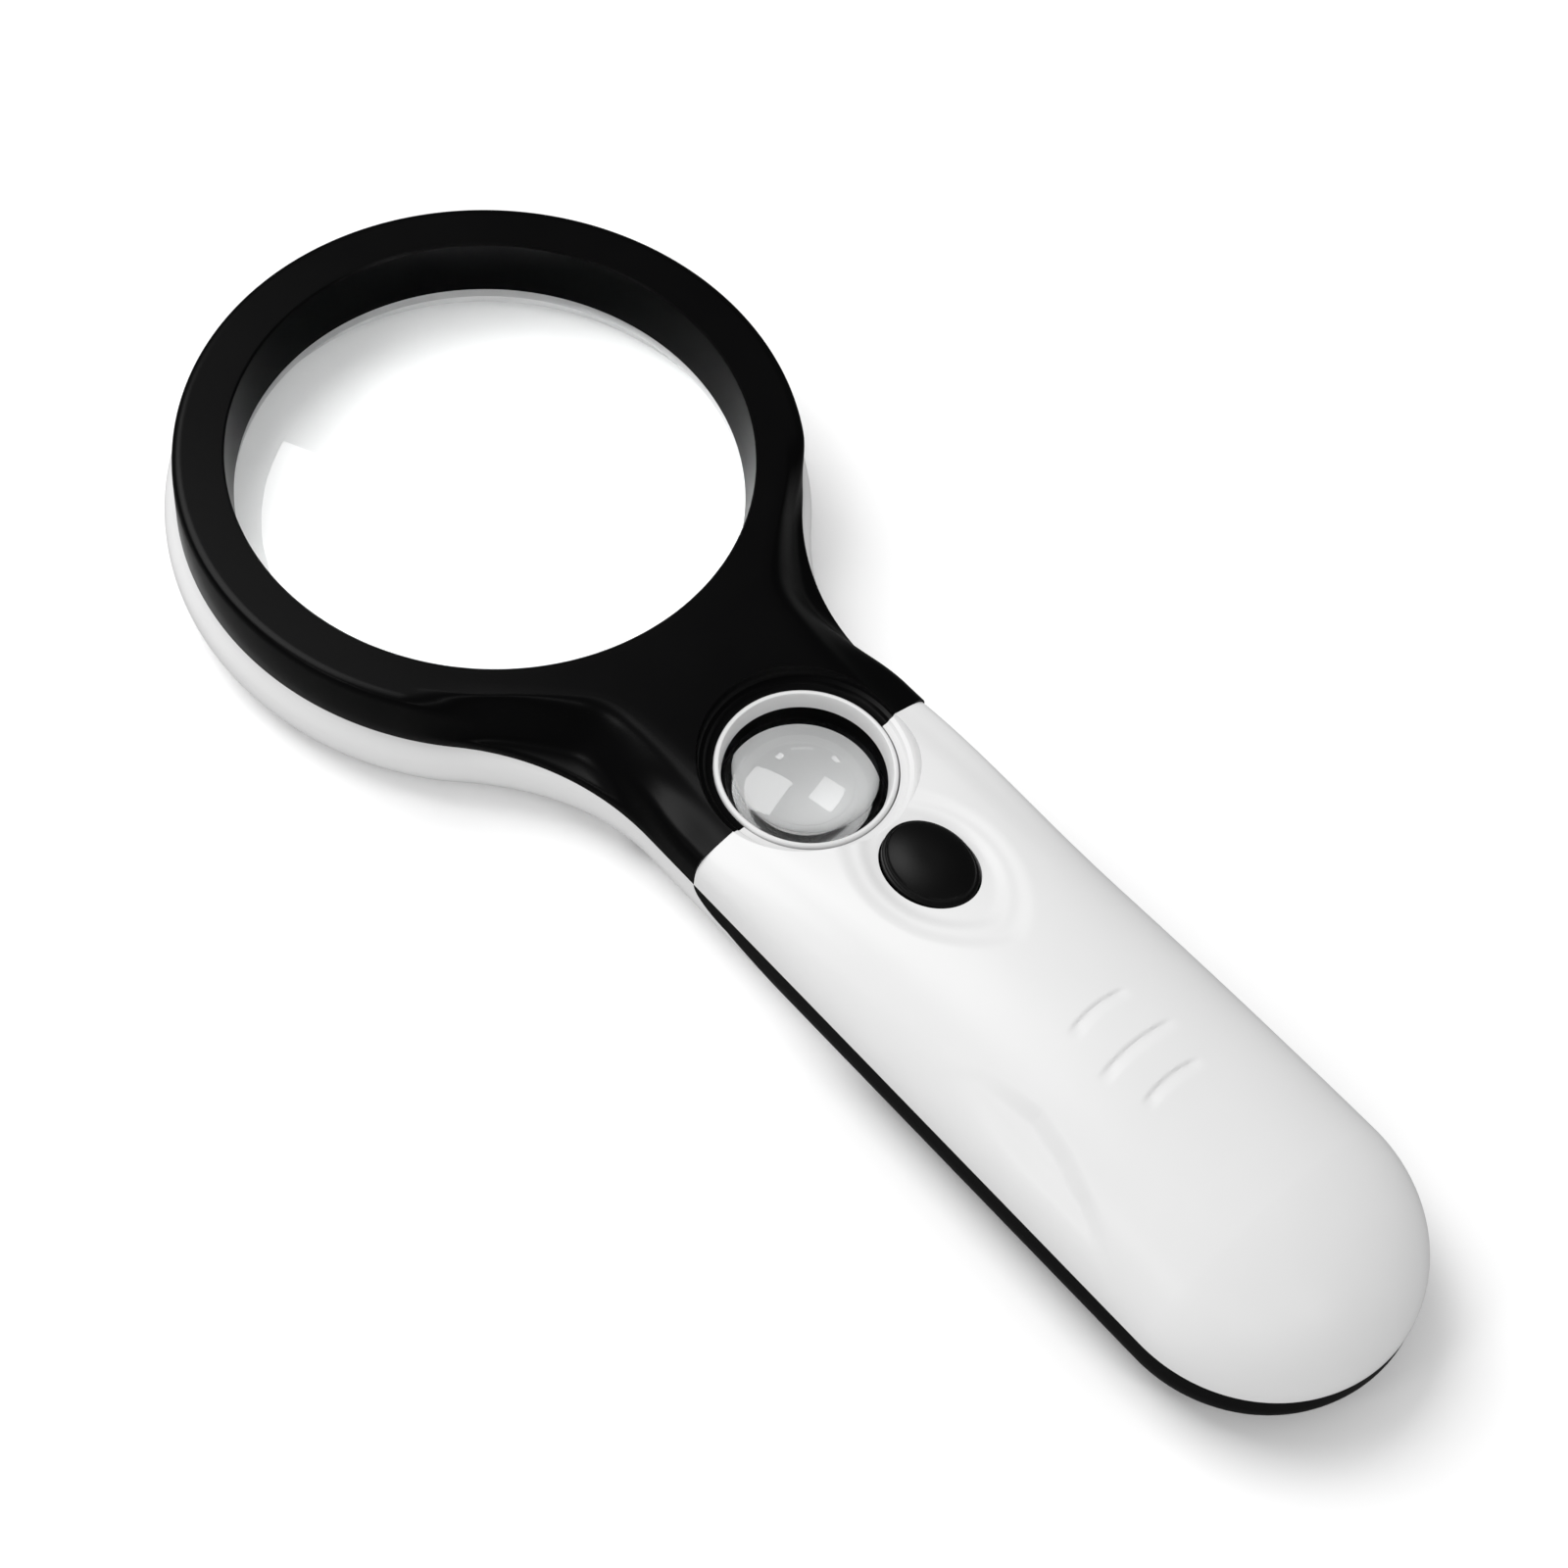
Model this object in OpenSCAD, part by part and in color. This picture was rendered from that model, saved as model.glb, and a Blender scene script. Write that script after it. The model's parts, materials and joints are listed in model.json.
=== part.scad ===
// Hand-held illuminated reading magnifier with a large lens, a small high-power lens,
// three lamps under the neck and three small cells in the handle.
// The part lies on its back: +Z is the front, +Y points to the head, and the origin is
// the centre of the footprint at the resting plane.

/* [Head] */
// Outer radius of the front ring at the parting plane
ring_r = 38.4; // [37:0.1:40]
// Radius of the inner rim at the top of the front ring
rim_r = 32.2; // [31.9:0.1:33]
// Height of the front ring above the parting plane
ring_top = 7.7; // [7:0.1:9]
// How far the rear ring stands out past the front ring
rear_bulge = 1.4; // [0.8:0.1:2]
// Radius of the opening in front of the main lens
lens_view_r = 31.3; // [30.8:0.1:31.5]

/* [Handle] */
// Distance from the ring centre to the centre of the rounded tail
tail_y = 131.8; // [130:0.2:136]
// Half width of the handle at the neck
neck_half = 18.1; // [17.6:0.1:18.6]
// Radius of the rounded tail
tail_r = 18.7; // [18.6:0.1:19.4]
// Height of the crown of the front cover above the parting plane
crown_h = 13.4; // [13:0.1:15]
// Depth of the rear shells below the parting plane
rear_depth = 9; // [9:0.1:11]
// Wall thickness of the shells
wall = 1.8; // [1.4:0.1:2]

/* [Small lens] */
// Distance from the ring centre to the centre of the small lens
small_y = 57.1; // [56.5:0.1:58]
// Outer radius of the collar round the small lens
collar_r = 10.85; // [10.6:0.05:11.2]
// Radius of the opening in the collar
collar_hole_r = 9.9; // [9.5:0.1:10]

/* [Button] */
// Distance from the ring centre to the centre of the button
button_y = 76.9; // [76.6:0.1:78]
// Length of the button along the handle
button_len = 12.4; // [11.6:0.1:12.6]
// Width of the button
button_w = 9.9; // [9:0.1:10]
// Travel of the button
button_travel = 1.2; // [0.8:0.1:1.4]

/* [Battery bay] */
// Diameter of a cell
cell_d = 10.5; // [10.1:0.1:10.5]
// Length of a cell with its positive button
cell_len = 44.5; // [43.8:0.1:44.6]
// Half width of the battery door
door_half = 15.6; // [15:0.1:15.8]

/* [Hidden] */

$fn = 96;
gap = 0.25;                 // clearance between pieces that move or lift out
eps = 0.01;

head_r = ring_r + rear_bulge;
overall_len = head_r + tail_y + tail_r;
head_y = overall_len / 2 - head_r;
part_z = rear_depth;

// Neck fillets: arcs tangent to the ring and to the sides of the handle
fillet_y = 50;
fillet_r = (neck_half * neck_half + fillet_y * fillet_y - ring_r * ring_r)
    / (2 * (ring_r - neck_half));
fillet_x = neck_half + fillet_r;
touch = ring_r / (ring_r + fillet_r);       // where a fillet touches the ring
corner_r = 6.7;                             // rounding of the rear shells' long edges

// Seam between the head frames and the handle covers
seam_y = 58.4;
seam_end_y = 91;
seam_run = 6;
seam_drop = 2.8;
seam_gap = 0.05;

// Top line of the front cover: one long arc with its crest at crown_y
crown_y = 112;
crown_arc_r = 228;

// Main lens
lens_r = 33;
lens_curve_r = 115;
lens_edge_top = -0.94;
lens_edge_low = -2.5;
lens_seat_r = 33.15;
lens_grip = 0.6;            // height of the seat round the edge, above and below it

// Small lens and its tube
tube_r = collar_r - 0.15;
tube_top = 3.2;
small_seat_z = -1.55;
small_edge_low = -0.9;
tube_split_z = -3.1;        // where the tube passes from the front to the rear frame
small_lens_r = collar_hole_r - 0.05;
small_curve_r = 16.5;
collar_top = 5.5;
dish_outer_r = 13.3;
dish_inner_r = 12;
dish_step_z = 5.6;
dish_floor_z = 4.7;

// Button recess: the lens shape between two arcs
recess_arc_r = 24.7;
recess_half = 8.4;
recess_y = 78;
recess_end_y = 92;
recess_depth = 1.2;

// Cells side by side, with their springs towards the tail
cell_pitch = cell_d + 0.3;
cell_z = -1.2;
bay_front_y = 89;
bay_len = 49.5;
bay_tail_y = bay_front_y + bay_len;
plate_t = 0.5;
spring_len = bay_len - 2 * plate_t - cell_len;
door_front_y = 92;
door_lift = 0.2;            // how far the door sits in from the resting plane

// Hinge of the battery door: a barrel between two cheeks of the rear cover
hinge_y = 138.2;
barrel_r = 1.2;
hinge_z = -rear_depth + door_lift + barrel_r;
pin_r = 0.5;
bore_r = 0.55;
cheek_in = 9.2;
cheek_out = 10.7;

// Screws: [x, distance from the ring centre]
screw_places = [[-14, 47], [14, 47], [-11.5, 71], [11.5, 71], [0, 144.8]];
screw_r = 1;
screw_head_r = 2;
boss_r = 2.7;
lug_t = 2.6;
lead_pass = 1.5;            // height left free for the leads under the seam's rib

// Lamps on an arc round the main lens: angle from the handle's axis
lamp_arc_r = 40.6;
lamp_angle = 17;
lamp_r = 2.5;
lamp_board_z = 1.2;

// Switch stack, measured from the parting plane
board_low = -1;
board_t = 1.6;
board_top = board_low + board_t;
switch_h = 3.6;
spring_low = board_top + 0.4;
plunger_low = 3.4;
plunger_top = 5.6;
button_top = 11.7;
flange_t = 0.9;
flange_lip = 0.9;

BLACK = [0.04, 0.04, 0.045];
WHITE = [0.93, 0.93, 0.93];
STEEL = [0.75, 0.76, 0.78];

function ellipse_points(a, b, n = 48) = [for (i = [0:n - 1]) [a * cos(360 * i / n), b * sin(360 * i / n)]];
function arc_points(cx, cy, r, from, to, n = 12) =
    [for (i = [0:n]) [cx + r * cos(from + (to - from) * i / n), cy + r * sin(from + (to - from) * i / n)]];
function crown_z(y) = crown_h - pow(y - crown_y, 2) / (2 * crown_arc_r);
flange_top = crown_z(button_y) - recess_depth - wall - 0.1;
function sag(r, curve) = curve - sqrt(curve * curve - r * r);

// Moves a piece from the ring's own frame (ring centre, parting plane) to the part's frame
module placed() translate([0, head_y, part_z]) children();

// Sweeps a [y, z] outline across the width; y is counted from the ring centre to the tail
module across(half) rotate([90, 0, -90]) translate([0, 0, -half]) linear_extrude(2 * half) children();

// Sweeps an [x, z] outline along the handle from y0 to y1
module along(y0, y1) translate([0, -y0, 0]) rotate([90, 0, 0]) linear_extrude(y1 - y0) children();

// ---------------------------------------------------------------- outlines

module handle_plan(inset = 0) {
    half = neck_half - inset;
    polygon([[-half, -fillet_y + 1], [half, -fillet_y + 1],
        [tail_r - inset, -tail_y], [-(tail_r - inset), -tail_y]]);
    translate([0, -tail_y]) circle(tail_r - inset);
}

module neck_plan(inset = 0) {
    top_x = fillet_x * touch;
    difference() {
        translate([-top_x, -fillet_y]) square([2 * top_x, fillet_y * (1 - touch) + 3]);
        for (side = [-1, 1])
            translate([side * fillet_x, -fillet_y]) circle(fillet_r + inset);
    }
}

module body_plan(inset = 0) {
    handle_plan(inset);
    neck_plan(inset);
}

// Half of the rear shells' section, from the axis outwards
module rear_section_half(inset) {
    half = tail_r - inset;
    r = corner_r - inset;
    polygon(concat([[0, 0], [0, -rear_depth + inset]],
        arc_points(half - r, -rear_depth + inset + r, r, -90, 0), [[half, 0]]));
}

// Side outline of the front cover, as [distance from the ring centre, height]
module crown_outline(inset) {
    from = 20;
    to = tail_y + tail_r;
    steps = 24;
    polygon(concat([[from, -eps]],
        [for (i = [0:steps]) let (y = from + (to - from) * i / steps) [y, crown_z(y) - inset]], [[to, -eps]]));
}

// ---------------------------------------------------------------- volumes

// Half of the front cover's section, from the axis outwards
module crown_section_half(inset) {
    quarter = 18;
    polygon(concat([[0, -eps], [tail_r - inset, -eps]], [for (i = [0:quarter]) let (a = 90 * i / quarter)
        [(tail_r - inset) * cos(a), (crown_h + 0.3 - inset) * sin(a)]]));
}

// Everything inside the front cover's outer face, less inset
module upper_volume(inset = 0) {
    intersection() {
        linear_extrude(crown_h) body_plan(inset);
        across(tail_r) crown_outline(inset);
        union() {
            along(0, tail_y) {
                crown_section_half(inset);
                mirror([1, 0]) crown_section_half(inset);
            }
            translate([0, -tail_y, 0]) rotate_extrude() crown_section_half(inset);
        }
    }
}

// Everything inside the rear shells' outer face along the handle, less inset
module lower_volume(inset = 0) {
    intersection() {
        translate([0, 0, -rear_depth]) linear_extrude(rear_depth) handle_plan(inset);
        union() {
            along(fillet_y - 1, tail_y) {
                rear_section_half(inset);
                mirror([1, 0]) rear_section_half(inset);
            }
            translate([0, -tail_y, 0]) rotate_extrude() rear_section_half(inset);
        }
    }
}

// The neck's rear part: stepped to follow the rounded lower edge
module neck_lower_volume(inset = 0) {
    translate([0, 0, -rear_depth + inset + 4.2]) linear_extrude(rear_depth - inset - 4.2) neck_plan(inset);
    translate([0, 0, -rear_depth + inset + 1.6]) linear_extrude(3) neck_plan(inset + 1.2);
    translate([0, 0, -rear_depth + inset]) linear_extrude(3) neck_plan(inset + 3.2);
}

// The neck's front part: stepped to follow the rounded upper edge
module neck_upper_volume(inset = 0) {
    intersection() {
        union() {
            linear_extrude(ring_top - inset - 1.8) body_plan(inset);
            linear_extrude(ring_top - inset - 0.8) body_plan(inset + 0.7);
            linear_extrude(ring_top - inset) body_plan(inset + 2);
        }
        translate([-ring_r, -seam_y, 0]) cube([2 * ring_r, seam_y, ring_top]);
    }
}

// The region that belongs to the head below the parting plane
module head_side_region() {
    across(head_r + 1) polygon(concat(
        [[-50, -30], [-50, 20], [seam_y, 20]],
        [for (a = [0:15:90]) [seam_y + seam_run * (1 - cos(a)), -seam_drop * sin(a)]],
        arc_points(seam_end_y - seam_drop, -2 * seam_drop, seam_drop, 90, 0, 6), [[seam_end_y, -30]]));
}

// ---------------------------------------------------------------- shells

module ring_front() {
    edge = 2.4;
    difference() {
        rotate_extrude() polygon(concat(
            [[lens_view_r, lens_edge_top + lens_grip], [rim_r, ring_top]],
            arc_points(ring_r - 0.3 - edge, ring_top - edge, edge, 90, 0, 8),
            [[ring_r, 0], [lens_seat_r, 0], [lens_seat_r, lens_edge_top + lens_grip]]));
        translate([0, 0, -eps]) rotate_extrude()
            translate([rim_r + wall, 0]) square([ring_r - rim_r - 2 * wall, ring_top - wall]);
    }
}

module ring_rear() {
    difference() {
        rotate_extrude() polygon(concat(
            [[ring_r, 0], [ring_r + rear_bulge * 0.7, -1.2]],
            arc_points(head_r - 3.6, -4.2, 3.6, 20, -75, 10),
            [[33.2, -rear_depth], [32, -rear_depth + 1], [lens_view_r, lens_edge_low - lens_grip],
            [lens_seat_r, lens_edge_low - lens_grip], [lens_seat_r, 0]]));
        translate([0, 0, -rear_depth + wall]) rotate_extrude()
            translate([lens_seat_r + wall, 0]) square([ring_r - lens_seat_r - 2 * wall, rear_depth]);
    }
}

module screw_boss(x, y, z0, z1) {
    translate([x, -y, z0]) cylinder(r = boss_r, h = z1 - z0);
}

module front_screw_holes(places) {
    for (p = places)
        translate([p[0], -p[1], -eps]) cylinder(r = screw_r, h = 4.6);
}

module rear_screw_holes(places) {
    for (p = places) translate([p[0], -p[1], -rear_depth]) {
        translate([0, 0, -eps]) cylinder(r = screw_r + 0.15, h = rear_depth + 1);
        translate([0, 0, -eps]) cylinder(r = screw_head_r + 0.2, h = 3);
    }
}

// Stepped dish round the small lens, with a hole down to hole_z for its collar and tube
module small_lens_dish(hole_z = -eps) {
    translate([0, -small_y, dish_step_z]) cylinder(r = dish_outer_r, h = 20);
    translate([0, -small_y, dish_floor_z]) cylinder(r = dish_inner_r, h = 20);
    translate([0, -small_y, hole_z]) cylinder(r = collar_r + 0.15, h = 20);
}

// Front part of the small lens's tube, with the seat of the lens
module small_lens_tube() {
    translate([0, -small_y, 0]) difference() {
        translate([0, 0, tube_split_z]) cylinder(r = tube_r, h = tube_top - tube_split_z);
        translate([0, 0, -rear_depth]) cylinder(r = collar_hole_r - 1, h = 40);
        translate([0, 0, small_seat_z]) cylinder(r = collar_hole_r, h = 40);
    }
}

// Wall round the small lens tube, with the floor that carries the dish's steps
module small_lens_wall() {
    translate([0, -small_y, 0]) cylinder(r = collar_r + wall, h = dish_floor_z);
    translate([0, -small_y, dish_floor_z - 1.2]) cylinder(r = dish_outer_r + 0.3, h = 10);
}

module front_head_frame() {
    color(BLACK) placed() {
        front_head_shell();
        small_lens_tube();
    }
}

module front_head_shell() {
    difference() {
        union() {
            difference() {
                union() {
                    ring_front();
                    difference() {
                        neck_upper_volume();
                        translate([0, 0, -1]) linear_extrude(20) circle(ring_r - wall);
                    }
                }
                translate([0, 0, -eps]) difference() {
                    neck_upper_volume(wall);
                    linear_extrude(20) circle(ring_r);
                    translate([-20, -60, lead_pass]) cube([40, 60 - seam_y + wall, 20]);
                }
            }
            intersection() {
                neck_upper_volume();
                small_lens_wall();
            }
            for (i = [0, 1]) screw_boss(screw_places[i][0], screw_places[i][1], 0, ring_top - wall + 0.2);
        }
        small_lens_dish(tube_top);
        translate([0, -small_y, -eps]) cylinder(r = tube_r - 0.5, h = 20);
        front_screw_holes([screw_places[0], screw_places[1]]);
    }
}

module lamp_holes() {
    for (a = [-lamp_angle, 0, lamp_angle]) rotate(a)
        translate([0, -lamp_arc_r, -rear_depth - eps]) cylinder(r = lamp_r + 0.2, h = 2 * rear_depth);
}

module rear_head_frame() {
    head_screws = [for (i = [0:3]) screw_places[i]];
    color(WHITE) placed() difference() {
        union() {
            ring_rear();
            intersection() {
                difference() {
                    union() {
                        neck_lower_volume();
                        lower_volume();
                    }
                    translate([0, 0, -30]) cylinder(r = ring_r - wall, h = 60);
                    difference() {
                        translate([0, 0, eps]) union() {
                            neck_lower_volume(wall);
                            lower_volume(wall);
                        }
                        translate([0, 0, -30]) cylinder(r = ring_r + 0.4, h = 60);
                        for (p = [screw_places[0], screw_places[1]])
                            screw_boss(p[0], p[1], -rear_depth, 0);
                        for (p = [screw_places[2], screw_places[3]])
                            screw_boss(p[0], p[1], -rear_depth, -lug_t - 0.1);
                        for (a = [-lamp_angle, 0, lamp_angle]) rotate(a)
                            translate([0, -lamp_arc_r, -rear_depth]) cylinder(r = lamp_r + 1.2, h = 5.5);
                    }
                }
                head_side_region();
            }
            // Rear part of the small lens's tube
            translate([0, -small_y, -rear_depth]) cylinder(r = tube_r, h = rear_depth + tube_split_z - 0.1);
            // Posts under the circuit board
            for (side = [-1, 1]) translate([side * 5.5, -76, -rear_depth + wall - eps])
                cylinder(r = 1.3, h = board_low + rear_depth - wall);
        }
        translate([0, -small_y, -rear_depth - eps]) cylinder(r = collar_hole_r - 1, h = 40);
        rear_screw_holes(head_screws);
        lamp_holes();
    }
}

// Lens shape between two arcs, blunt at the tail end
module recess_outline(inset = 0) {
    intersection() {
        translate([recess_arc_r - recess_half, -recess_y]) circle(recess_arc_r - inset);
        translate([-(recess_arc_r - recess_half), -recess_y]) circle(recess_arc_r - inset);
        translate([-10, -recess_end_y + inset]) square([20, 40]);
    }
}

module oval(a, b) polygon(ellipse_points(a, b));

module grip_arcs() {
    // Three short grooves across the crown, the middle one longer
    for (groove = [[103.1, 4.6], [109.1, 5.9], [114.4, 4.6]]) {
        bend_r = 26;
        intersection() {
            translate([0, -groove[0] - bend_r, crown_z(groove[0]) - 0.5]) difference() {
                cylinder(r = bend_r + 0.4, h = 3);
                translate([0, 0, -1]) cylinder(r = bend_r - 0.4, h = 5);
            }
            translate([-groove[1], -groove[0] - 3, 0]) cube([2 * groove[1], 6, 20]);
        }
    }
}

module front_handle_cover() {
    floor_z = crown_z(button_y) - recess_depth;
    places = [screw_places[2], screw_places[3], screw_places[4]];
    color(WHITE) placed() difference() {
        union() {
            difference() {
                upper_volume();
                translate([0, 0, -eps]) upper_volume(wall);
                translate([-25, -seam_y - seam_gap, -1]) cube([50, 80, 30]);
            }
            intersection() {
                upper_volume();
                translate([0, 0, floor_z - wall]) linear_extrude(wall + recess_depth + 2) recess_outline(-1);
                translate([-25, -100, -1]) cube([50, 100 - seam_y - seam_gap, 30]);
            }
            intersection() {
                upper_volume();
                small_lens_wall();
                translate([-25, -100, -1]) cube([50, 100 - seam_y - seam_gap, 30]);
            }
            intersection() {
                upper_volume(wall / 2);
                for (p = places) screw_boss(p[0], p[1], 0, 11);
            }
        }
        small_lens_dish();
        translate([0, 0, floor_z]) linear_extrude(10) recess_outline(0.9);
        translate([0, -button_y, 2]) linear_extrude(20) oval(button_w / 2 + gap, button_len / 2 + gap);
        front_screw_holes(places);
        grip_arcs();
    }
}

module across_cylinder(half, r) {
    rotate([0, 90, 0]) cylinder(r = r, h = 2 * half, center = true);
}

module rear_handle_cover() {
    opening_half = door_half + gap;
    opening_tail_y = hinge_y + barrel_r + gap;
    color(BLACK) placed() difference() {
        union() {
            difference() {
                lower_volume();
                translate([0, 0, eps]) lower_volume(wall);
                translate([-opening_half, -opening_tail_y, -rear_depth - 1])
                    cube([2 * opening_half, opening_tail_y - door_front_y + gap, 7.2]);
            }
            intersection() {
                lower_volume(wall / 2);
                union() {
                    screw_boss(screw_places[4][0], screw_places[4][1], -rear_depth, 0);
                    // Lugs of the side walls over the middle screws
                    for (i = [2, 3]) screw_boss(screw_places[i][0], screw_places[i][1], -lug_t, 0);
                    for (side = [-1, 1]) translate([side * 15.5 - 4, -screw_places[2][1] - 2, -lug_t])
                        cube([8, 4, lug_t]);
                }
            }
            // Cheeks that hold the door's pins
            intersection() {
                lower_volume(door_lift);
                for (side = [-1, 1]) translate([side * (cheek_in + cheek_out) / 2 - (cheek_out - cheek_in) / 2,
                    -opening_tail_y - 0.5, -rear_depth]) cube([cheek_out - cheek_in, 3.6, 3]);
            }
        }
        translate([0, -seam_gap, seam_gap]) head_side_region();
        rear_screw_holes([screw_places[2], screw_places[3], screw_places[4]]);
        translate([0, -hinge_y, hinge_z]) across_cylinder(cheek_out + 0.1, bore_r);
    }
}

// ---------------------------------------------------------------- battery bay

module battery_door() {
    scoop_y = door_front_y + 5.5;
    color(BLACK) placed() {
        difference() {
            intersection() {
                difference() {
                    lower_volume(door_lift);
                    lower_volume(wall);
                }
                translate([-door_half, -hinge_y, -rear_depth]) cube([2 * door_half, hinge_y - door_front_y, 6]);
            }
            // Fingernail scoop near the head end
            translate([0, -scoop_y, -rear_depth - 1.3]) across_cylinder(6, 2.2);
            // Notches round the cheeks
            for (side = [-1, 1]) translate([side * 10 - 1.1, -hinge_y - 1, -rear_depth - 1]) cube([2.2, 3.4, 8]);
        }
        translate([0, -hinge_y, hinge_z]) across_cylinder(8.9, barrel_r);
        translate([0, -hinge_y, hinge_z]) across_cylinder(10.5, pin_r);
    }
}

module battery_tray() {
    roof_z = cell_z + cell_d / 2 + 0.2;
    roof_t = 1.2;
    end_t = 1.2;
    low = -5;
    color([0.1, 0.1, 0.105]) placed() intersection() {
        difference() {
            translate([-17, -bay_tail_y - end_t, low]) cube([34, bay_len + 2 * end_t, roof_z + roof_t - low]);
            difference() {
                translate([-18, -bay_tail_y, low - 1]) cube([36, bay_len, roof_z - low + 1]);
                // Ribs between the cells
                for (side = [-1, 1]) translate([side * cell_pitch / 2 - 0.6, -bay_tail_y + 6, roof_z - 1.9])
                    cube([1.2, bay_len - 12, 4]);
            }
        }
        union() {
            translate([0, 0, -eps]) upper_volume(wall + 0.15);
            lower_volume(wall + 0.15);
        }
    }
}

// A cell along the handle; flipped turns its positive button to the tail
module cell(x, flipped = false) {
    button_h = 1;
    button_r = 1.9;
    y = flipped ? bay_tail_y - plate_t : bay_front_y + plate_t;
    color([0.16, 0.3, 0.42]) placed() translate([x, -y, cell_z]) rotate([flipped ? -90 : 90, 0, 0]) {
        translate([0, 0, button_h]) cylinder(r = cell_d / 2, h = cell_len - button_h);
        cylinder(r = button_r, h = button_h + eps);
    }
}

module cell_left() cell(-cell_pitch);
module cell_middle() cell(0, flipped = true);
module cell_right() cell(cell_pitch);

// Conical coil, swept as rings of points along a tapering helix
module coil(r0, r1, len, turns, wire, steps = 14, sides = 6) {
    n = turns * steps;
    pts = [for (i = [0:n]) let (a = 360 * i / steps, r = r0 + (r1 - r0) * i / n, h = wire / 2 + (len - wire) * i / n)
        for (j = [0:sides - 1]) let (b = 360 * j / sides, q = r + wire / 2 * cos(b))
            [q * cos(a), q * sin(a), h + wire / 2 * sin(b)]];
    faces = concat([[for (j = [0:sides - 1]) j]],
        [for (i = [0:n - 1]) for (j = [0:sides - 1]) let (k = (j + 1) % sides)
            [i * sides + j, (i + 1) * sides + j, (i + 1) * sides + k, i * sides + k]],
        [[for (j = [sides - 1:-1:0]) n * sides + j]]);
    polyhedron(pts, faces, convexity = 6);
}

// Spring on a cell's flat end: its wide end sits on the contact plate
module cell_spring(x, at_head = false) {
    slack = 0.03;
    y = at_head ? bay_front_y + plate_t + slack : bay_tail_y - plate_t - slack;
    color(STEEL) placed() translate([x, -y, cell_z]) rotate([at_head ? 90 : -90, 0, 0])
        coil(3.6, 2.2, spring_len - 2 * slack, 4, 0.5);
}

module cell_spring_left() cell_spring(-cell_pitch);
module cell_spring_middle() cell_spring(0, at_head = true);
module cell_spring_right() cell_spring(cell_pitch);

// Flat contact plate against an end wall of the tray; y is the plate's head side
module contact(x0, x1, y) {
    half_h = 4;
    color(STEEL) placed() translate([x0 - half_h, -y - plate_t, cell_z - half_h])
        cube([x1 - x0 + 2 * half_h, plate_t, 2 * half_h]);
}

module positive_contact() contact(-cell_pitch, -cell_pitch, bay_front_y);
module front_bridge_contact() contact(0.4, cell_pitch, bay_front_y);
module rear_bridge_contact() contact(-cell_pitch + 0.6, -0.4, bay_tail_y - plate_t);
module negative_contact() contact(cell_pitch - 1, cell_pitch - 1, bay_tail_y - plate_t);

// ---------------------------------------------------------------- lenses

module main_lens() {
    s = sag(lens_r, lens_curve_r);
    color([0.85, 0.9, 0.92, 0.4]) placed() intersection() {
        translate([0, 0, lens_edge_low - 20]) cylinder(r = lens_r, h = 40);
        translate([0, 0, lens_edge_top + s - lens_curve_r]) sphere(lens_curve_r, $fn = 200);
        translate([0, 0, lens_edge_low - s + lens_curve_r]) sphere(lens_curve_r, $fn = 200);
    }
}

module small_lens() {
    edge_h = 1.4;
    s = sag(small_lens_r, small_curve_r);
    color([0.85, 0.9, 0.92, 0.4]) placed() translate([0, -small_y, small_edge_low]) intersection() {
        cylinder(r = small_lens_r, h = 30, center = true);
        translate([0, 0, edge_h + s - small_curve_r]) sphere(small_curve_r);
        translate([0, 0, small_curve_r - s]) sphere(small_curve_r);
    }
}

module small_lens_collar() {
    lip = 0.1;
    color(WHITE) placed() translate([0, -small_y, tube_top]) difference() {
        cylinder(r = collar_r, h = collar_top - tube_top);
        translate([0, 0, -1]) cylinder(r = collar_hole_r - lip, h = 20);
    }
}

// ---------------------------------------------------------------- switch and board

module power_button() {
    dome = 1.4;
    color(BLACK) placed() translate([0, -button_y, 0]) {
        // Lip under the cover, cut short beside the small lens's dish
        translate([0, 0, flange_top - flange_t]) linear_extrude(flange_t) intersection() {
            oval(button_w / 2 + flange_lip, button_len / 2 + flange_lip);
            translate([-10, -10]) square([20, 10 + button_y - small_y - dish_outer_r - 0.6]);
        }
        translate([0, 0, flange_top - eps]) linear_extrude(button_top - dome - flange_top)
            oval(button_w / 2, button_len / 2);
        translate([0, 0, button_top - dome - 2 * eps]) linear_extrude(dome * 0.6)
            oval(button_w / 2 - 0.5, button_len / 2 - 0.5);
        translate([0, 0, button_top - dome * 0.45]) linear_extrude(dome * 0.45)
            oval(button_w / 2 - 1.6, button_len / 2 - 1.6);
        translate([0, 0, plunger_top]) cylinder(r = 2, h = flange_top - plunger_top);
    }
}

module switch_plunger() {
    side = 2.8;
    color([0.9, 0.9, 0.88]) placed() translate([-side / 2, -button_y - side / 2, plunger_low])
        cube([side, side, plunger_top - plunger_low]);
}

module switch_spring() {
    slack = 0.03;
    color(STEEL) placed() translate([0, -button_y, spring_low + slack])
        coil(0.9, 0.9, plunger_low - spring_low - 2 * slack, 3, 0.25, 12, 5);
}

module switch_body() {
    side = 7;
    cavity = 3.4;
    color([0.12, 0.12, 0.13]) placed() translate([0, -button_y, board_top]) difference() {
        translate([-side / 2, -side / 2, 0]) cube([side, side, switch_h]);
        translate([-cavity / 2, -cavity / 2, spring_low - board_top]) cube([cavity, cavity, 5]);
    }
}

module circuit_board() {
    color([0.1, 0.35, 0.18]) placed() translate([-8, -85, board_low]) cube([16, 13, board_t]);
}

module resistors() {
    color([0.08, 0.08, 0.08]) placed() for (x = [-4.8, -3.2, 3.4])
        translate([x, -84, board_top]) cube([1.2, 2.4, 0.6]);
}

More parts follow.
